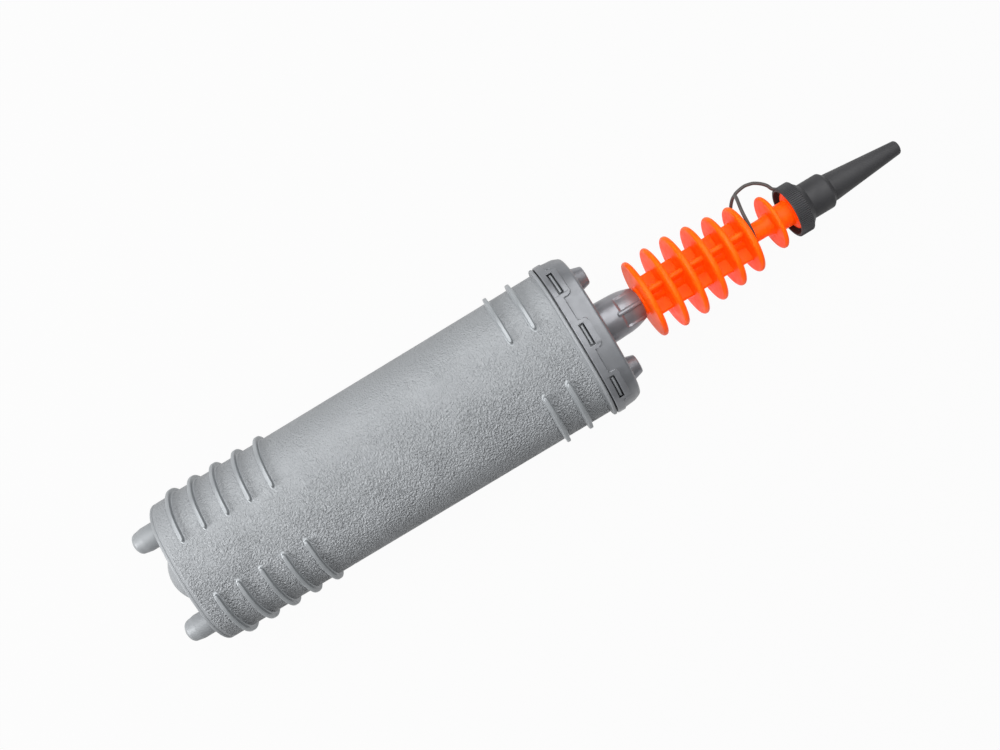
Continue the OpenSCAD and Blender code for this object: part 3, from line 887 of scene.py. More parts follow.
@dataclass(frozen=True)
class SatinPlastic:
    """A plain satin plastic with faint flow marks and rubbed edges."""

    name: str
    low: tuple[int, int, int]
    high: tuple[int, int, int]
    roughness: float = 0.4
    metallic: float = 0.0
    grain_size: float = 0.8
    grain_depth: float = 0.02
    wear: float = 0.3
    specular: float = 0.5

    def make(self) -> bpy.types.Material:
        """Builds the material.

        Returns:
            The material.
        """
        g = Graph(self.name)
        flow = g.noise(9.0, 3.0, (3.0, 1.0, 1.0))
        worn = g.ramp(g.edges(), 0.52, 0.64, 0.0, self.wear)
        tone = g.math("ADD", flow, worn, clamp=True)
        rough = (self.roughness - 0.05, self.roughness + 0.07)
        g.set(
            Base_Color=g.tint(srgb(*self.low), srgb(*self.high), tone),
            Metallic=self.metallic,
            Specular_IOR_Level=self.specular,
            Roughness=g.ramp(g.noise(4.0, 3.0), 0.3, 0.7, *rough),
            Normal=g.bump(g.noise(self.grain_size, 3.0), self.grain_depth),
        )
        return g.material


@dataclass(frozen=True)
class OrangePlastic:
    """The grip's orange plastic: light goes a little way in, and a faint emission paints extra light on
    it, which lifts its shaded faces.
    """

    name: str = "orange_plastic"
    low: tuple[int, int, int] = (255, 88, 5)
    high: tuple[int, int, int] = (255, 106, 18)
    roughness: float = 0.4
    specular: float = 0.12
    # How much lighter the outward edges are made: painted light for the light that shines through the
    # thin rims
    wear: float = 0.4
    depth: float = 4.0
    painted_glow: float = 0.36
    painted_glow_colour: tuple[float, float, float] = (1.0, 0.06, 0.0)

    def make(self) -> bpy.types.Material:
        """Builds the material.

        Returns:
            The material.
        """
        g = Graph(self.name)
        flow = g.noise(7.0, 3.0)
        # Painted light: the outward edges, the flanges' rims most, are made lighter, for the light that
        # shines through the thin rims
        worn = g.ramp(g.edges(), 0.52, 0.62, 0.0, self.wear)
        tone = g.math("ADD", flow, worn, clamp=True)
        rough = (self.roughness - 0.05, self.roughness + 0.08)
        g.set(
            Base_Color=g.tint(srgb(*self.low), srgb(*self.high), tone),
            Roughness=g.ramp(g.noise(3.0, 3.0), 0.3, 0.7, *rough),
            Specular_IOR_Level=self.specular,
            Subsurface_Weight=0.5,
            Subsurface_Radius=(1.0, 0.3, 0.08),
            Subsurface_Scale=self.depth * MM,
            # Painted light: the emission makes the plastic glow, which brightens the faces that the
            # lamps leave in shade
            Emission_Color=(*self.painted_glow_colour, 1),
            Emission_Strength=self.painted_glow,
            Normal=g.bump(g.noise(2.4, 2.0), 0.008),
        )
        return g.material


class Paintbox:
    """All the finishes, made once."""

    def __init__(self) -> None:
        """Makes every finish."""
        self.grained = SilverPlastic("barrel_grained", True).make()
        self.silver = SilverPlastic("barrel_smooth", False).make()
        # The ribs' silver is lighter than the wall's: a painted highlight for the lamp's reflection
        # along their smooth crowns
        self.crown = SilverPlastic("rib_crown_painted_highlight", False, (150, 154, 157), (165, 169, 172), 0.4, 0.3).make()
        self.cap = SatinPlastic("cap_satin", (118, 120, 124), (132, 134, 138), 0.36, 0.3).make()
        self.fitting = SatinPlastic("fitting_satin", (134, 135, 140), (148, 149, 154), 0.34, 0.45).make()
        self.orange = OrangePlastic().make()
        self.charcoal = SatinPlastic(
            "nozzle_matte", (53, 53, 55), (64, 64, 66), 0.55, 0.0, 0.7, 0.03, 0.25, 0.4
        ).make()
        self.strap = SatinPlastic(
            "strap_matte", (70, 66, 65), (84, 80, 78), 0.5, 0.0, 0.6, 0.02, 0.2, 0.4
        ).make()
        self.natural = SatinPlastic("natural_plastic", (216, 214, 206), (228, 226, 219), 0.4).make()
        self.rubber = SatinPlastic(
            "seal_rubber", (24, 24, 25), (34, 34, 35), 0.65, 0.0, 0.5, 0.03, 0.1, 0.3
        ).make()


# ---------------------------------------------------------------------------------------------
# Barrel


@dataclass
class Barrel:
    """The grained oval barrel with its ribs, closed-end stubs and dome."""

    paint: Paintbox
    wall: float = 2.4
    end_wall: float = 2.6
    draft: float = 0.7
    end_edge: float = 1.0
    groove: tuple[float, float, float, float] = (1.3, 1.5, 1.75, 1.95)
    groove_depth: float = 0.22
    bead_top: float = 3.2
    bead_width: float = 2.6
    bead_round: float = 1.15
    seam: float = 0.9
    seam_depth: float = 0.3
    rib_height: float = 2.4
    rib_half: float = 0.95
    rib_round: float = 0.85
    rib_fillet: float = 0.95
    rib_sink: float = 0.6
    rib_stop: float = 78.7
    rib_end: float = 2.3
    ribs: tuple[float, ...] = (11.1, 23.1, 35.1, 47.1, 59.1, 186.3, 198.7)
    stub_offset: float = 24.3
    stub_radius: float = 6.2
    stub_length: float = 17.4
    stub_round: float = 4.4
    stub_hole: float = 1.5
    stub_hole_depth: float = 7.0
    stub_straight: float = 6.2
    dome_foot: float = 16.5
    dome_height: float = 10.2
    sink: float = 0.8
    lug_spacing: float = 27.5
    lug_half: float = 4.8
    lug_top: float = 2.5
    lug_catch: float = 2.8
    lug_length: float = 2.1

    def wall_at(self, station: float) -> float:
        """Gives the wall's offset at a station."""
        return self.draft * station / LAYOUT.rim

    def build(self) -> None:
        """Builds every piece of the barrel."""
        self.shell()
        self.rib_set()
        self.end_fittings()
        self.lugs()

    def shell(self) -> None:
        """Sweeps the wall, the bead and the neck, and closes the end."""
        foot = LAYOUT.rim - self.bead_width
        seam = LAYOUT.rim - self.seam
        groove = self.groove
        section = rounded(
            [
                (-END_INSET, 0.0, 0),
                (0.0, 0.0, self.end_edge),
                (0.0, groove[0], 0.1),
                (-self.groove_depth, groove[1], 0.1),
                (-self.groove_depth, groove[2], 0.1),
                (0.02, groove[3], 0.1),
                (self.wall_at(foot), foot, 0.3),
                (self.bead_top, foot + 0.02, self.bead_round),
                (self.bead_top, seam, 0.6),
                (-self.seam_depth, seam, 0.1),
                (-self.seam_depth, LAYOUT.neck_end, 0.3),
                (-self.wall, LAYOUT.neck_end, 0.3),
                (-self.wall, self.end_wall, 0.6),
                (-END_INSET, self.end_wall, 0),
            ],
            7,
        )
        blank = Blank()
        blank.oval(section)
        for level in (0.0, self.end_wall):
            bmesh.ops.edgeloop_fill(blank.bm, edges=blank.open_edges(level))
        blank.finish("barrel_shell", Body.BARREL, self.paint.grained, ["barrel"])

    def rib_half_section(self, station: float) -> list[Point]:
        """Draws half of a rib, from its crown to under the wall.

        Args:
            station: where the rib lies.

        Returns:
            Points of (distance from the rib's middle, offset).
        """
        wall = self.wall_at(station)
        top = wall + self.rib_height
        under = wall - self.rib_sink
        half = self.rib_half
        spread = half + self.rib_fillet + 0.4
        return rounded(
            [
                (0.0, top, 0),
                (half, top, self.rib_round),
                (half, wall, self.rib_fillet),
                (spread, wall - 0.03, 0.1),
                (spread, under, 0),
                (0.0, under, 0),
            ],
            6,
        )

    def rib_set(self) -> None:
        """Builds the ribs that wrap the narrow sides, with rounded ends."""
        blank = Blank()
        for station in self.ribs:
            before = set(blank.bm.verts)
            self.rib(blank, station)
            blank.copy_turned(blank.weld(before, 2 * TOUCH), 180)
        # The ribs take the lighter silver, which paints a highlight on their crowns
        blank.finish("barrel_ribs", Body.BARREL, self.paint.crown)

    def rib(self, blank: Blank, station: float) -> None:
        """Adds one rib round the narrow side that faces +x.

        Args:
            blank: the mesh to add to.
            station: where the rib lies.
        """
        half = self.rib_half_section(station)
        loop = [(o, station + w) for w, o in half] + [(o, station - w) for w, o in half[-2:0:-1]]
        flat = OVAL.flat_radius
        stop = math.radians(self.rib_stop)
        low = Vector((0, OVAL.flat_centre, 0))
        high = Vector((0, -OVAL.flat_centre, 0))
        side = Vector((OVAL.side_centre, 0, 0))
        start = Vector((math.cos(stop), -math.sin(stop), 0))
        verts = blank.path((low + start * (flat + o) + ALONG * s for o, s in loop), True)
        geom = blank.chain(verts)
        run = self.rib_stop - OVAL.tangent
        for centre, degrees, steps in (
            (low, run, 6),
            (side, 2 * OVAL.tangent, OVAL.side_steps),
            (high, run, 6),
        ):
            geom = blank.spin(geom, centre, ALONG, degrees, steps)
        for centre, flip in ((low, -1), (high, 1)):
            out = Vector((math.cos(stop), flip * math.sin(stop), 0))
            along = Vector((-math.sin(stop), flip * math.cos(stop), 0))
            before = set(blank.bm.verts)
            end = blank.path(centre + out * (flat + o) + ALONG * (station + w) for w, o in half)
            blank.spin(blank.chain(end), centre + ALONG * station, out, -180 * flip, 12)
            for v in blank.made_since(before):
                reach = (v.co - centre).dot(along) * self.rib_end
                drop = reach * reach / (2 * flat)
                v.co += along * reach * (1 - 1 / self.rib_end) - out * drop

    def end_fittings(self) -> None:
        """Turns the two intake stubs and the dome on the closed end."""
        blank = Blank()
        radius, tip = self.stub_radius, -self.stub_length
        hole_end = tip + self.stub_hole_depth
        stub = rounded(
            [
                (self.stub_hole, hole_end, 0),
                (self.stub_hole, tip, 0.35),
                (self.stub_hole + 1.1, tip, 0.8),
                (radius - 1.0, tip + 1.2, self.stub_round),
                (radius, tip + self.stub_straight, 6.0),
                (radius, 0.0, 1.0),
                (radius + 1.6, 0.02, 0.1),
                (radius + 1.6, self.sink, 0),
            ],
            8,
        )
        for side in (-1, 1):
            outline = [(0, hole_end)] + stub + [(0, self.sink)]
            blank.lathe(outline, side * self.stub_offset, 0, 64)
        ball = (self.dome_foot**2 + self.dome_height**2) / (2 * self.dome_height)
        sweep = math.degrees(math.asin(self.dome_foot / ball)) - 4
        dome = arc((0, ball - self.dome_height), ball, -90, -90 + sweep, 28)
        foot = rounded(
            [
                (*dome[-1], 0),
                (self.dome_foot - 0.05, -0.12, 1.2),
                (self.dome_foot + 1.4, 0.02, 0.1),
                (self.dome_foot + 1.4, self.sink, 0),
            ],
            6,
        )
        blank.lathe(dome + foot[1:] + [(0, self.sink)], 0, 0, 96)
        blank.finish("barrel_end_fittings", Body.BARREL, self.paint.silver)

    def lugs(self) -> None:
        """Cuts the wedges on the neck that show in the cap's windows."""
        catch = LAYOUT.cap_start + self.lug_catch
        end = catch + self.lug_length
        top = self.lug_top
        section = rounded(
            [
                (-self.sink, catch, 0),
                (top - 0.1, catch, 0.3),
                (top, catch + 1.0, 0.3),
                (-self.seam_depth, end, 0),
                (-self.sink, end, 0),
            ],
            3,
        )
        for side, name in ((-1, "right"), (0, "middle"), (1, "left")):
            blank = Blank()
            blank.oval(section, True)
            middle = side * self.lug_spacing
            blank.keep_slab(ACROSS, middle - self.lug_half, middle + self.lug_half)
            blank.finish(f"barrel_lugs_{name}", Body.BARREL, self.paint.silver)


# ---------------------------------------------------------------------------------------------
# Cap


@dataclass
class Cap:
    """The snap-on cap with its windows, tabs and intake pegs."""

    paint: Paintbox
    face: float = 2.4
    face_reach: float = 7.0
    overlap: float = 0.8
    skirt_inner: float = -0.2
    skirt_foot: float = 2.7
    skirt_top: float = 2.0
    lip: float = 3.3
    lip_end: float = 217.3
    edge: float = 2.9
    side_edge: float = 4.6
    ease_from: float = 22.0
    broad_from: float = 10.0
    window_half: float = 5.6
    window_low: float = 216.2
    window_high: float = 218.9
    window_round: float = 0.35
    spacing: float = 27.5
    tab_half: float = 7.7
    tab_end: float = 221.7
    tab_corner: float = 2.6
    tab_round: float = 0.42
    tab_step: float = 0.9
    hair: float = 0.04
    peg_offset: float = 24.6
    peg_foot: float = 6.5
    peg_tip: float = 4.6
    peg_height: float = 6.5
    peg_hole: float = 1.4
    peg_hole_depth: float = 1.8
    rod_hole: float = 8.95

    @property
    def hole_half(self) -> float:
        """Half of a tab's opening, a hair inside the window's walls."""
        return self.window_half - self.hair

    def build(self) -> None:
        """Builds every piece of the cap."""
        self.skirt()
        self.tabs()
        self.pegs()

    def in_window(self, point: Vector) -> bool:
        """Says whether a point lies in one of the windows."""
        if not self.window_low < point.z < self.window_high or abs(point.y) < self.broad_from:
            return False
        return any(abs(point.x - side * self.spacing) < self.window_half for side in (-1, 0, 1))

    def cut_windows(self, blank: Blank) -> None:
        """Cuts the windows out of a mesh.

        Args:
            blank: the mesh to cut.
        """

        margin = 0.5

        def near(face: bmesh.types.BMFace) -> bool:
            """Says whether a face may touch a window.

            Args:
                face: the face.

            Returns:
                True on the broad sides, at the windows' stations or close to them.
            """
            low = min(v.co.z for v in face.verts) - margin
            high = max(v.co.z for v in face.verts) + margin
            broad = abs(face.calc_center_median().y) > self.broad_from
            return broad and low < self.window_high and high > self.window_low

        for level in (self.window_low, self.window_high):
            blank.cut(ALONG * level, ALONG, filter(near, blank.bm.faces))
        for side in (-1, 0, 1):
            for end in (-1, 1):
                at = side * self.spacing + end * self.window_half
                blank.cut(ACROSS * at, ACROSS, filter(near, blank.bm.faces))
        gone = [f for f in blank.bm.faces if self.in_window(f.calc_center_median())]
        bmesh.ops.delete(blank.bm, geom=gone, context="FACES")

        def outside(vert: bmesh.types.BMVert) -> bool:
            """Says whether a vertex lies on the skirt's outside, not above the windows.

            Args:
                vert: the vertex.

            Returns:
                True for the windows' outer corners and what lies below them.
            """
            height = OVAL.height_at(vert.co.x, self.skirt_foot - 1.2)
            return abs(vert.co.y) > height and vert.co.z < self.window_high + 0.1

        rims = [e for e in blank.open_edges() if all(map(outside, e.verts))]
        done = bmesh.ops.extrude_edge_only(blank.bm, edges=rims)
        for v in verts_in(done["geom"]):
            v.co.y = math.copysign(OVAL.height_at(v.co.x, self.skirt_inner), v.co.y)
        blank.bevel(rims, self.window_round, 3)

    def ease_corner(self, vert: bmesh.types.BMVert) -> None:
        """Rounds the end more widely on the narrow sides.

        Args:
            vert: a vertex of the skirt or the face.
        """
        over = vert.co.z - (LAYOUT.cap_end - self.side_edge)
        if over <= 0 or abs(vert.co.x) < self.ease_from:
            return
        wide = self.side_edge - math.sqrt(max(self.side_edge**2 - over**2, 0.0))
        tight = max(0.0, over - self.side_edge + self.edge)
        narrow = self.edge - math.sqrt(max(self.edge**2 - tight**2, 0.0))
        share = eased(abs(vert.co.x), self.ease_from, OVAL.half_width)
        vert.co.x -= math.copysign((wide - narrow) * share, vert.co.x)

    def skirt(self) -> None:
        """Sweeps the skirt and the face and cuts the windows."""
        start, end = LAYOUT.cap_start - self.overlap, LAYOUT.cap_end
        under = end - self.face
        foot = end - self.edge
        section = rounded(
            [
                (self.skirt_inner - self.face_reach, under, 0),
                (self.skirt_inner, under, 0.3),
                (self.skirt_inner, start, 0.15),
                (self.lip, start, 0.6),
                (self.lip, self.lip_end, 0.3),
                (self.skirt_foot, self.lip_end + 0.02, 0.25),
                *((self.skirt_top + 0.08 * k, foot - 0.7 * k, 0) for k in (4, 3, 2, 1, 0)),
                (self.skirt_top - 0.1, end, self.edge - 0.2),
                (-END_INSET, end, 0),
            ],
            6,
        )
        blank = Blank()
        for v in blank.oval(section):
            self.ease_corner(v)
        blank.lathe([(self.rod_hole, under), (self.rod_hole, end)], steps=64)
        for level in (under, end):
            bmesh.ops.triangle_fill(blank.bm, edges=blank.open_edges(level), use_beauty=True)
        bmesh.ops.recalc_face_normals(blank.bm, faces=list(blank.bm.faces))
        self.cut_windows(blank)
        blank.finish(
            "cap_skirt", Body.BARREL, self.paint.cap, ["cap"], outward=False
        )

    def tab_outline(self, middle: float) -> list[Point]:
        """Draws a tab: a rounded end above, and a flared foot at the lip.

        Args:
            middle: where the tab's middle lies across the broad side.

        Returns:
            Points of (across, station).
        """
        foot = self.lip_end - 0.5
        rise = self.lip_end
        half, corner = self.tab_half, self.tab_corner
        corners = [
            (middle - half - corner, foot, 0),
            (middle - half - corner, rise, 0),
            (middle - half, rise, corner * 0.8),
            (middle - half, self.tab_end, corner),
            (middle + half, self.tab_end, corner),
            (middle + half, rise, corner * 0.8),
            (middle + half + corner, rise, 0),
            (middle + half + corner, foot, 0),
        ]
        return rounded(corners, 6)

    def tab_sheet(self, blank: Blank, middle: float) -> None:
        """Adds one tab as a flat sheet, cut into strips and open over its window.

        Args:
            blank: the mesh to add to.
            middle: where the tab's middle lies across the broad side.
        """
        limit = OVAL.half_width - 0.6
        outline = [(max(-limit, min(limit, x)), s) for x, s in self.tab_outline(middle)]
        before = set(blank.bm.faces)
        verts = blank.path((Vector((x, 0, s)) for x, s in outline), True)
        bmesh.ops.contextual_create(blank.bm, geom=blank.chain(verts))
        low, high = min(x for x, _ in outline), max(x for x, _ in outline)
        top = self.window_high - self.hair
        strips = [low + self.tab_step * k for k in range(1, int((high - low) / self.tab_step) + 1)]
        strips += [middle - self.hole_half, middle + self.hole_half]
        cuts = [(ACROSS * x, ACROSS) for x in strips]
        cuts += [(ALONG * s, ALONG) for s in (self.window_low, top)]
        for point, normal in cuts:
            blank.cut(point, normal, [f for f in blank.bm.faces if f not in before])
        gone = []
        for face in (f for f in blank.bm.faces if f not in before):
            at = face.calc_center_median()
            if abs(at.x - middle) < self.hole_half and at.z < top:
                gone.append(face)
        bmesh.ops.delete(blank.bm, geom=gone, context="FACES")

    def tabs(self) -> None:
        """Builds the raised tabs round the windows, on both broad sides."""
        blank = Blank()
        for side in (-1, 0, 1):
            self.tab_sheet(blank, side * self.spacing)
        loose = [v for v in blank.bm.verts if not v.link_faces]
        bmesh.ops.delete(blank.bm, geom=loose, context="VERTS")
        done = bmesh.ops.extrude_face_region(blank.bm, geom=list(blank.bm.faces))
        fresh = set(verts_in(done["geom"]))
        for v in blank.bm.verts:
            raise_to = self.lip if v in fresh else self.skirt_top - 0.4
            v.co.y = OVAL.height_at(v.co.x, raise_to)
        rims = [
            e
            for e in blank.bm.edges
            if all(v in fresh for v in e.verts)
            and len(e.link_faces) == 2
            and sum(all(v in fresh for v in f.verts) for f in e.link_faces) == 1
        ]
        blank.bevel(rims, self.tab_round, 4)
        geom = list(blank.bm.verts) + list(blank.bm.edges) + list(blank.bm.faces)
        done = bmesh.ops.duplicate(blank.bm, geom=geom)
        bmesh.ops.scale(blank.bm, vec=Vector((1, -1, 1)), verts=verts_in(done["geom"]))
        blank.finish("cap_tabs", Body.BARREL, self.paint.cap)

    def pegs(self) -> None:
        """Turns the two pegs that hold the cap's intake valves."""
        blank = Blank()
        face = LAYOUT.cap_end
        top = face + self.peg_height
        hole_end = top - self.peg_hole_depth
        under = face - self.overlap
        outline = [(0, hole_end), (self.peg_hole, hole_end)]
        outline += rounded(
            [
                (self.peg_hole, hole_end + 0.1, 0),
                (self.peg_hole, top, 0.2),
                (self.peg_tip, top, 1.0),
                (self.peg_foot, face, 0.7),
                (self.peg_foot + 1.3, face - 0.02, 0.1),
                (self.peg_foot + 1.3, under, 0),
            ],
            6,
        )
        outline += [(0, under)]
        for side in (-1, 1):
            blank.lathe(outline, side * self.peg_offset, 0, 64)
        blank.finish("cap_pegs", Body.BARREL, self.paint.fitting)


# ---------------------------------------------------------------------------------------------
# Rod guide


@dataclass
class Guide:
    """The rod's guide: a round shoulder and a curved nose with recessed panels."""

    paint: Paintbox
    start: float = 219.5
    spigot: float = 8.9
    foot: float = 10.9
    shoulder: float = 10.5
    shoulder_end: float = 237.7
    curve: float = 31.0
    bore: float = 5.53
    panel_depth: float = 1.05
    panel_half: float = 7.8
    rib_half: float = 0.95
    rib_rise: float = 0.65
    soft: float = 0.5
    nose_round: float = 0.9

    def radius_at(self, station: float) -> float:
        """Gives the nose's radius before the panels are pressed in.

        Args:
            station: the place along the pump.

        Returns:
            The radius.
        """
        start = self.shoulder_end - 1.2
        if station <= start:
            share = (station - LAYOUT.cap_end) / (start - LAYOUT.cap_end)
            return self.foot + (self.shoulder - self.foot) * share
        return self.shoulder - self.curve + math.sqrt(self.curve**2 - (station - start) ** 2)

    def sink(self, point: Vector) -> float:
        """Says how far a point of the nose lies under its plain outline.

        Args:
            point: the point, on the plain outline.

        Returns:
            The depth; less than 0 on the middle ribs.
        """
        across = abs(point.x)
        panel = eased(across, self.rib_half - 0.2, self.rib_half + self.soft)
        panel *= 1 - eased(across, self.panel_half - self.soft, self.panel_half)
        panel *= eased(point.z, self.shoulder_end - 0.5, self.shoulder_end + 0.8)
        rib = 1 - eased(across, self.rib_half - 0.5, self.rib_half + 0.3)
        rib *= eased(point.z, self.shoulder_end - 1.9, self.shoulder_end - 1.1)
        return self.panel_depth * panel - self.rib_rise * rib

    def build(self) -> None:
        """Turns the guide and presses the panels into its nose."""
        cap, end = LAYOUT.cap_end, LAYOUT.guide_end
        under = cap - 0.6
        stations: list[float] = []
        for start, step, count in (
            (cap + 1.5, 0.8, 9),
            (self.shoulder_end - 1.9, 0.2, 14),
            (self.shoulder_end + 1.2, 0.7, 15),
        ):
            stations += [start + step * k for k in range(count)]
        foot = rounded(
            [
                (self.foot + 1.3, under, 0),
                (self.foot + 1.3, cap + 0.02, 0.1),
                (self.foot, cap + 0.04, 1.0),
                (self.foot, cap + 1.4, 0),
            ],
            5,
        )
        nose = rounded(
            [
                (self.radius_at(end - 1.4), end - 1.4, 0),
                (self.radius_at(end), end, self.nose_round),
                (self.bore + 0.3, end, 0),
                (self.bore, end - 0.3, 0),
            ],
            6,
        )
        outline = [(self.bore, self.start), (self.spigot, self.start), (self.spigot, under)]
        outline += foot + [(self.radius_at(z), z) for z in stations] + nose
        outline += [(self.bore, self.start)]
        blank = Blank()
        blank.lathe(outline, steps=192)
        for v in blank.bm.verts:
            radius = math.hypot(v.co.x, v.co.y)
            if v.co.z < self.shoulder_end - 2.5 or radius < self.bore + 0.1:
                continue
            share = min(1.0, (radius - self.bore) / (self.radius_at(v.co.z) - self.bore))
            scale = (radius - self.sink(v.co) * share) / radius
            v.co.x *= scale
            v.co.y *= scale
        blank.finish("guide_nose", Body.BARREL, self.paint.fitting, ["rod_guide"], crease=50)


# ---------------------------------------------------------------------------------------------
# Grip


@dataclass
class Grip:
    """The orange flanged grip with its neck, stem and threaded boss."""

    paint: Paintbox
    radii: tuple[float, ...] = (20.14, 21.2, 21.2, 19.99, 18.66, 17.45)
    rim: float = 2.6
    root: float = 3.2
    core: float = 4.3
    hub: float = 7.4
    web_reach: float = 10.9
    web_thickness: float = 2.6
    web_round: float = 1.1
    web_turn: float = -17.0
    neck: float = 4.7
    end_radius: float = 13.9
    end_rim: float = 2.1
    stem: float = 6.4
    flare: float = 0.5
    boss: float = 9.5
    bore: float = 2.7
    bore_depth: float = 12.0
    rod_hole: float = 5.6
    fillet: float = 1.3
    edge: float = 1.25
    thread_pitch: float = 3.0
    thread_turns: float = 1.4
    thread_steps: int = 134
    thread_rise: float = 1.1

    def build(self) -> None:
        """Builds the grip and its thread."""
        self.flanges()
        self.thread()

    def flanges(self) -> None:
        """Turns the flanges, neck and boss in one outline and adds the webs."""
        first, pitch = LAYOUT.first_flange, LAYOUT.flange_pitch
        hr, hm = self.root / 2, self.rim / 2
        hub = LAYOUT.guide_end + 0.3
        count = len(self.radii)
        corners: list[Corner] = [
            (self.rod_hole, hub + 2, 0),
            (self.rod_hole, hub, 0.2),
            (self.hub, hub, 0.4),
        ]
        for i, radius in enumerate(self.radii):
            at = first + i * pitch
            corners += [
                (self.core if i else self.hub, at - hr, self.fillet if i else 0.5),
                (radius, at - hm, self.edge),
                (radius, at + hm, self.edge),
                (self.core if i + 1 < count else self.neck, at + hr, self.fillet),
            ]
        end = LAYOUT.end_flange
        half = self.end_rim / 2
        corners += [
            (self.neck, end - half - 3.8, 2.0),
            (self.neck + 1.1, end - half - 0.2, 0.6),
            (self.end_radius, end - half, 1.0),
            (self.end_radius, end + half, 1.0),
            (self.stem, end + half + 0.2, 0.8),
            (self.stem, LAYOUT.boss_start - self.flare, 1.0),
            (self.boss, LAYOUT.boss_start + 0.5, 0.4),
            (self.boss, LAYOUT.boss_end, 0.5),
            (self.bore, LAYOUT.boss_end, 0.3),
            (self.bore, LAYOUT.boss_end - self.bore_depth, 0),
            (0, LAYOUT.boss_end - self.bore_depth, 0),
        ]
        blank = Blank()
        blank.lathe([(0, hub + 2)] + rounded(corners, 6), steps=128)
        last = first + (count - 1) * pitch
        for quarter in (0, 90):
            turn = Matrix.Rotation(math.radians(self.web_turn + quarter), 3, "Z")
            verts = bmesh.ops.create_cube(blank.bm, size=1.0)["verts"]
            size = Vector((2 * self.web_reach, self.web_thickness, last - first))
            bmesh.ops.scale(blank.bm, vec=size, verts=verts)
            bmesh.ops.translate(blank.bm, vec=ALONG * ((first + last) / 2), verts=verts)
            edges = {
                e
                for v in verts
                for e in v.link_edges
                if abs(e.verts[0].co.z - e.verts[1].co.z) > 1
            }
            bmesh.ops.rotate(blank.bm, verts=verts, cent=Vector(), matrix=turn)
            blank.bevel(edges, self.web_round, 5)
        blank.finish("grip_flanges", Body.ROD, self.paint.orange, ["grip"])

    def thread(self) -> None:
        """Winds the thread round the boss."""
        blank = Blank()
        start = LAYOUT.boss_start + 0.9
        base = self.boss - 0.2
        half = [(base, 0.75), (base + 0.25, 0.6), (base + self.thread_rise, 0.15)]
        ridge = [(r, -w) for r, w in half] + half[::-1]
        verts = blank.path((Vector((r, 0, start + s)) for r, s in ridge), True)
        blank.spin(
            blank.chain(verts),
            Vector(),
            ALONG,
            360 * self.thread_turns,
            self.thread_steps,
            self.thread_pitch * self.thread_turns / self.thread_steps,
        )
        first = [
            e
            for e in blank.open_edges()
            if all(abs(v.co.y) < TOUCH and v.co.z < start + 1.0 for v in e.verts)
        ]
        bmesh.ops.edgeloop_fill(blank.bm, edges=first)
        bmesh.ops.holes_fill(blank.bm, edges=blank.open_edges(), sides=0)
        blank.finish("grip_thread", Body.ROD, self.paint.orange)


# ---------------------------------------------------------------------------------------------
# Nozzle and tether


@dataclass
class Nozzle:
    """The screw-on nozzle: a ridged collar, a cylinder and a long taper."""

    paint: Paintbox
    collar: float = 13.1
    wall: float = 1.5
    ridges: int = 80
    ridge_depth: float = 0.42
    back_round: float = 3.1
    ring: float = 9.15
    taper: float = 7.1
    tip: float = 3.5
    hole: float = 1.5
    hole_depth: float = 8.0
    cavity: float = 9.7
    cavity_floor: float = 1.6

    def build(self) -> None:
        """Builds the nozzle's body and its ridges."""
        self.body()
        self.knurl()

    def body(self) -> None:
        """Turns the nozzle inside and out."""
        root = self.collar - self.ridge_depth
        start, end = LAYOUT.collar_start, LAYOUT.collar_end
        shoulder, tip = LAYOUT.shoulder, LAYOUT.tip
        mouth = self.collar - self.wall
        ledge = LAYOUT.boss_start + 1.0
        outline = rounded(
            [
                (0, tip - self.hole_depth, 0),
                (self.hole, tip - self.hole_depth, 0.2),
                (self.hole, tip, 0.4),
                (self.tip, tip, 2.0),
                (self.taper, shoulder + 2.8, 3.0),
                (self.taper, shoulder + 1.9, 0.3),
                (self.ring, shoulder, 1.6),
                (self.ring, end + 0.4, 0.5),
                (self.ring + 0.9, end - 0.2, 0.6),
                (root, end - self.back_round + 0.2, 1.4),
                (root, start + 0.1, 0.35),
                (mouth, start, 0.3),
                (mouth, ledge, 0.2),
                (self.cavity, ledge, 0.2),
                (self.cavity, end - self.cavity_floor, 0.2),
                (0, end - self.cavity_floor, 0),
            ],
            7,
        )
        blank = Blank()
        blank.lathe(outline, steps=128)
        blank.finish(
            "nozzle_body", Body.NOZZLE, self.paint.charcoal, ["nozzle"]
        )

    def knurl(self) -> None:
        """Raises the ridges round the collar."""
        blank = Blank()
        low = LAYOUT.collar_start + 0.5
        high = LAYOUT.collar_end - self.back_round + 0.3
        root, crown = self.collar - self.ridge_depth - 0.15, self.collar
        step = 2 * math.pi / self.ridges
        ring: list[Vector] = []
        for i in range(self.ridges):
            for share, radius in ((0.0, root), (0.28, crown), (0.62, crown), (0.9, root)):
                a = (i + share) * step
                ring.append(Vector((radius * math.cos(a), radius * math.sin(a), low)))
        verts = blank.path(ring, True)
        bmesh.ops.contextual_create(blank.bm, geom=blank.chain(verts))
        done = bmesh.ops.extrude_face_region(blank.bm, geom=list(blank.bm.faces))
        bmesh.ops.translate(blank.bm, vec=ALONG * (high - low), verts=verts_in(done["geom"]))
        ends = [f for f in blank.bm.faces if abs(f.normal.z) > 0.9 or len(f.verts) > 4]
        bmesh.ops.inset_region(
            blank.bm, faces=ends, thickness=0.35, depth=0.25, use_even_offset=True
        )
        ends = [f for f in blank.bm.faces if len(f.verts) > 4]
        bmesh.ops.delete(blank.bm, geom=ends, context="FACES")
        blank.finish("nozzle_ridges", Body.NOZZLE, self.paint.charcoal, crease=30)


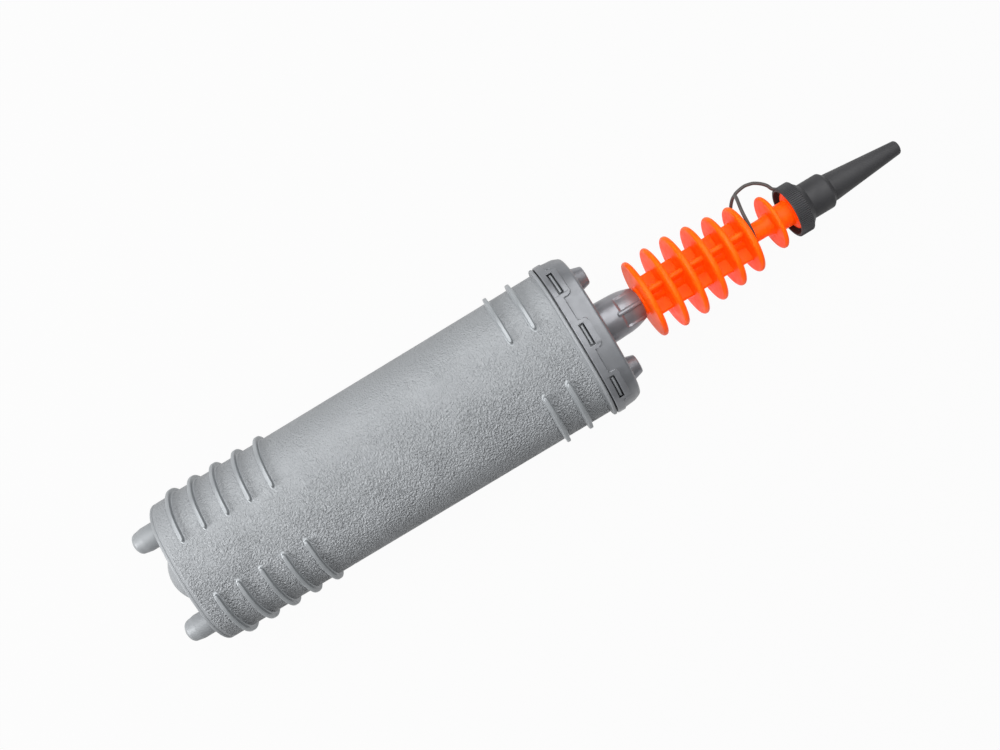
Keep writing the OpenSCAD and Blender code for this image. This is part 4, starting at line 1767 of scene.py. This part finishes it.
@dataclass
class Tether:
    """The moulded strap that hangs the nozzle on the grip's neck."""

    paint: Paintbox
    radius: float = 0.85
    ring: float = 12.5
    ring_across: float = 6.5
    ring_station: float = 309.8
    ring_bend: float = 4.2
    ring_pull: float = 1.0
    bend_from: float = 5.0
    strap: tuple[Point, ...] = (
        (333.0, 12.4),
        (331.3, 13.7),
        (330.1, 16.2),
        (328.0, 18.5),
        (325.1, 20.5),
        (322.5, 21.3),
        (320.3, 21.6),
        (317.2, 21.2),
        (315.3, 20.7),
        (314.0, 20.0),
    )

    def ring_point(self, degrees: float) -> Vector:
        """Gives a point of the ring, which bends towards the strap.

        Args:
            degrees: how far round the ring, from the strap.

        Returns:
            The point in build axes.
        """
        turn = math.radians(degrees)
        pull = self.ring_pull * max(0.0, math.cos(turn)) ** 4
        across = self.ring_across + self.ring * math.cos(turn) + pull
        furthest = self.ring_across + self.ring + self.ring_pull
        share = max(0.0, (across - self.bend_from) / (furthest - self.bend_from))
        station = self.ring_station + self.ring_bend * share**2.3
        return Vector((across, self.ring * math.sin(turn), station))

    def build(self) -> None:
        """Draws the strap and its ring."""
        blank = Blank()
        ring = [self.ring_point(degrees) for degrees in range(0, 360, 5)]
        blank.cord(ring, self.radius, ALONG, True)
        line = through([Vector((across, 0, station)) for station, across in self.strap], 4)
        blank.cord(line, self.radius, Vector((0, 1, 0)))
        blank.finish("tether_strap", Body.NOZZLE, self.paint.strap, ["tether"])


# ---------------------------------------------------------------------------------------------
# CAD pieces that are shown as they are


@dataclass
class PlainNodes:
    """CAD nodes that only need their finish."""

    paint: Paintbox

    def build(self) -> None:
        """Puts a finish on each remaining node."""
        finishes = {
            "cap_grey": self.paint.cap,
            "barrel_grey": self.paint.grained,
            "orange_plastic": self.paint.orange,
            "nozzle_grey": self.paint.charcoal,
            "natural_plastic": self.paint.natural,
            "seal_rubber": self.paint.rubber,
        }
        slots = {s["node"]: s["material_slot"] for s in frame["record"]["subparts"]}
        for name, node in frame["nodes"].items():
            node.data.materials.clear()
            node.data.materials.append(finishes[slots[name]])


# ---------------------------------------------------------------------------------------------
# Studio


@dataclass
class Studio:
    """The floor, the lamps and the camera.

    The focal length is in pixels of a render that is render_width pixels wide. The camera
    stands at height over foot and looks at target, both given as (station, across), and roll is
    how far its top is turned, in degrees.
    """

    focal: float = 1072.3
    roll: float = 31.07
    foot: tuple[float, float] = (175.8, 7.0)
    target: tuple[float, float] = (174.2, 4.55)
    height: float = 512.7
    sensor: float = 36.0
    render_width: float = 1000.0
    floor_half: float = 20.0
    floor_grey: float = 0.25
    whiteness: float = 0.96
    ambient: float = 0.1

    def build(self) -> None:
        """Sets the whole stage."""
        self.floor()
        self.lamps()
        self.camera()
        bpy.context.scene.view_settings.view_transform = "Standard"

    def floor(self) -> None:
        """Lays a pale floor that rays from the camera see as white, shadows kept."""
        blank = bmesh.new()
        bmesh.ops.create_grid(blank, x_segments=1, y_segments=1, size=self.floor_half)
        mesh = bpy.data.meshes.new("floor")
        blank.to_mesh(mesh)
        blank.free()
        floor = bpy.data.objects.new("floor", mesh)
        bpy.context.scene.collection.objects.link(floor)
        g = Graph("floor_white")
        grey = (self.floor_grey,) * 3
        g.set(Base_Color=(*grey, 1), Roughness=0.9, Specular_IOR_Level=0.1)
        path = g.node("ShaderNodeLightPath").outputs
        seen = g.math("MAXIMUM", path["Is Camera Ray"], path["Is Glossy Ray"])
        seen = g.math("MAXIMUM", seen, path["Is Transmission Ray"])
        white = g.node("ShaderNodeEmission", {"Color": (1, 1, 1, 1), "Strength": 1.0})
        mixed = g.node("ShaderNodeMixShader", {0: g.math("MULTIPLY", seen, self.whiteness)})
        g.tree.links.new(g.shader.outputs[0], mixed.inputs[1])
        g.tree.links.new(white.outputs[0], mixed.inputs[2])
        g.tree.links.new(mixed.outputs[0], g.tree.nodes["Material Output"].inputs["Surface"])
        mesh.materials.append(g.material)

    def lamps(self) -> None:
        """Hangs the soft lamps and sets the world."""
        world = bpy.data.worlds.new("world")
        world.use_nodes = True
        background = world.node_tree.nodes["Background"]
        background.inputs[0].default_value = (1, 1, 1, 1)
        background.inputs[1].default_value = self.ambient
        bpy.context.scene.world = world
        for name, place, size, power in (
            ("key", (0.06, 0.45, 1.1), 1.4, 20.5),
            ("rim", (-1.1, 0.1, 0.6), 0.5, 11.0),
        ):
            lamp = bpy.data.lights.new(name, "AREA")
            lamp.size = size
            lamp.energy = power
            holder = bpy.data.objects.new(name, lamp)
            holder.location = place
            holder.rotation_euler = (-Vector(place)).to_track_quat("-Z", "Y").to_euler()
            bpy.context.scene.collection.objects.link(holder)

    def camera(self) -> None:
        """Places the camera over the pump."""
        data = bpy.data.cameras.new("camera")
        data.sensor_width = self.sensor
        data.lens = self.focal / self.render_width * self.sensor
        data.clip_start, data.clip_end = 0.01, 10
        camera = bpy.data.objects.new("camera", data)
        eye = LAYOUT.at(self.foot[0], self.foot[1], self.height)
        aim = LAYOUT.at(self.target[0], self.target[1], 0)
        back = (eye - aim).normalized()
        roll = math.radians(self.roll)
        up = Vector((math.sin(roll), math.cos(roll), 0))
        right = up.cross(back).normalized()
        up = back.cross(right)
        camera.matrix_world = Matrix(
            (
                (right.x, up.x, back.x, eye.x),
                (right.y, up.y, back.y, eye.y),
                (right.z, up.z, back.z, eye.z),
                (0, 0, 0, 1),
            )
        )
        bpy.context.scene.collection.objects.link(camera)
        bpy.context.scene.camera = camera


def main() -> None:
    """Builds the sub-assemblies in order and sets the stage."""
    logging.basicConfig(level=logging.INFO, format="%(name)s: %(message)s")
    paint = Paintbox()
    PlainNodes(paint).build()
    for part in (Barrel(paint), Cap(paint), Guide(paint), Grip(paint), Nozzle(paint), Tether(paint)):
        part.build()
    Studio().build()


if __name__ == "__main__":
    main()
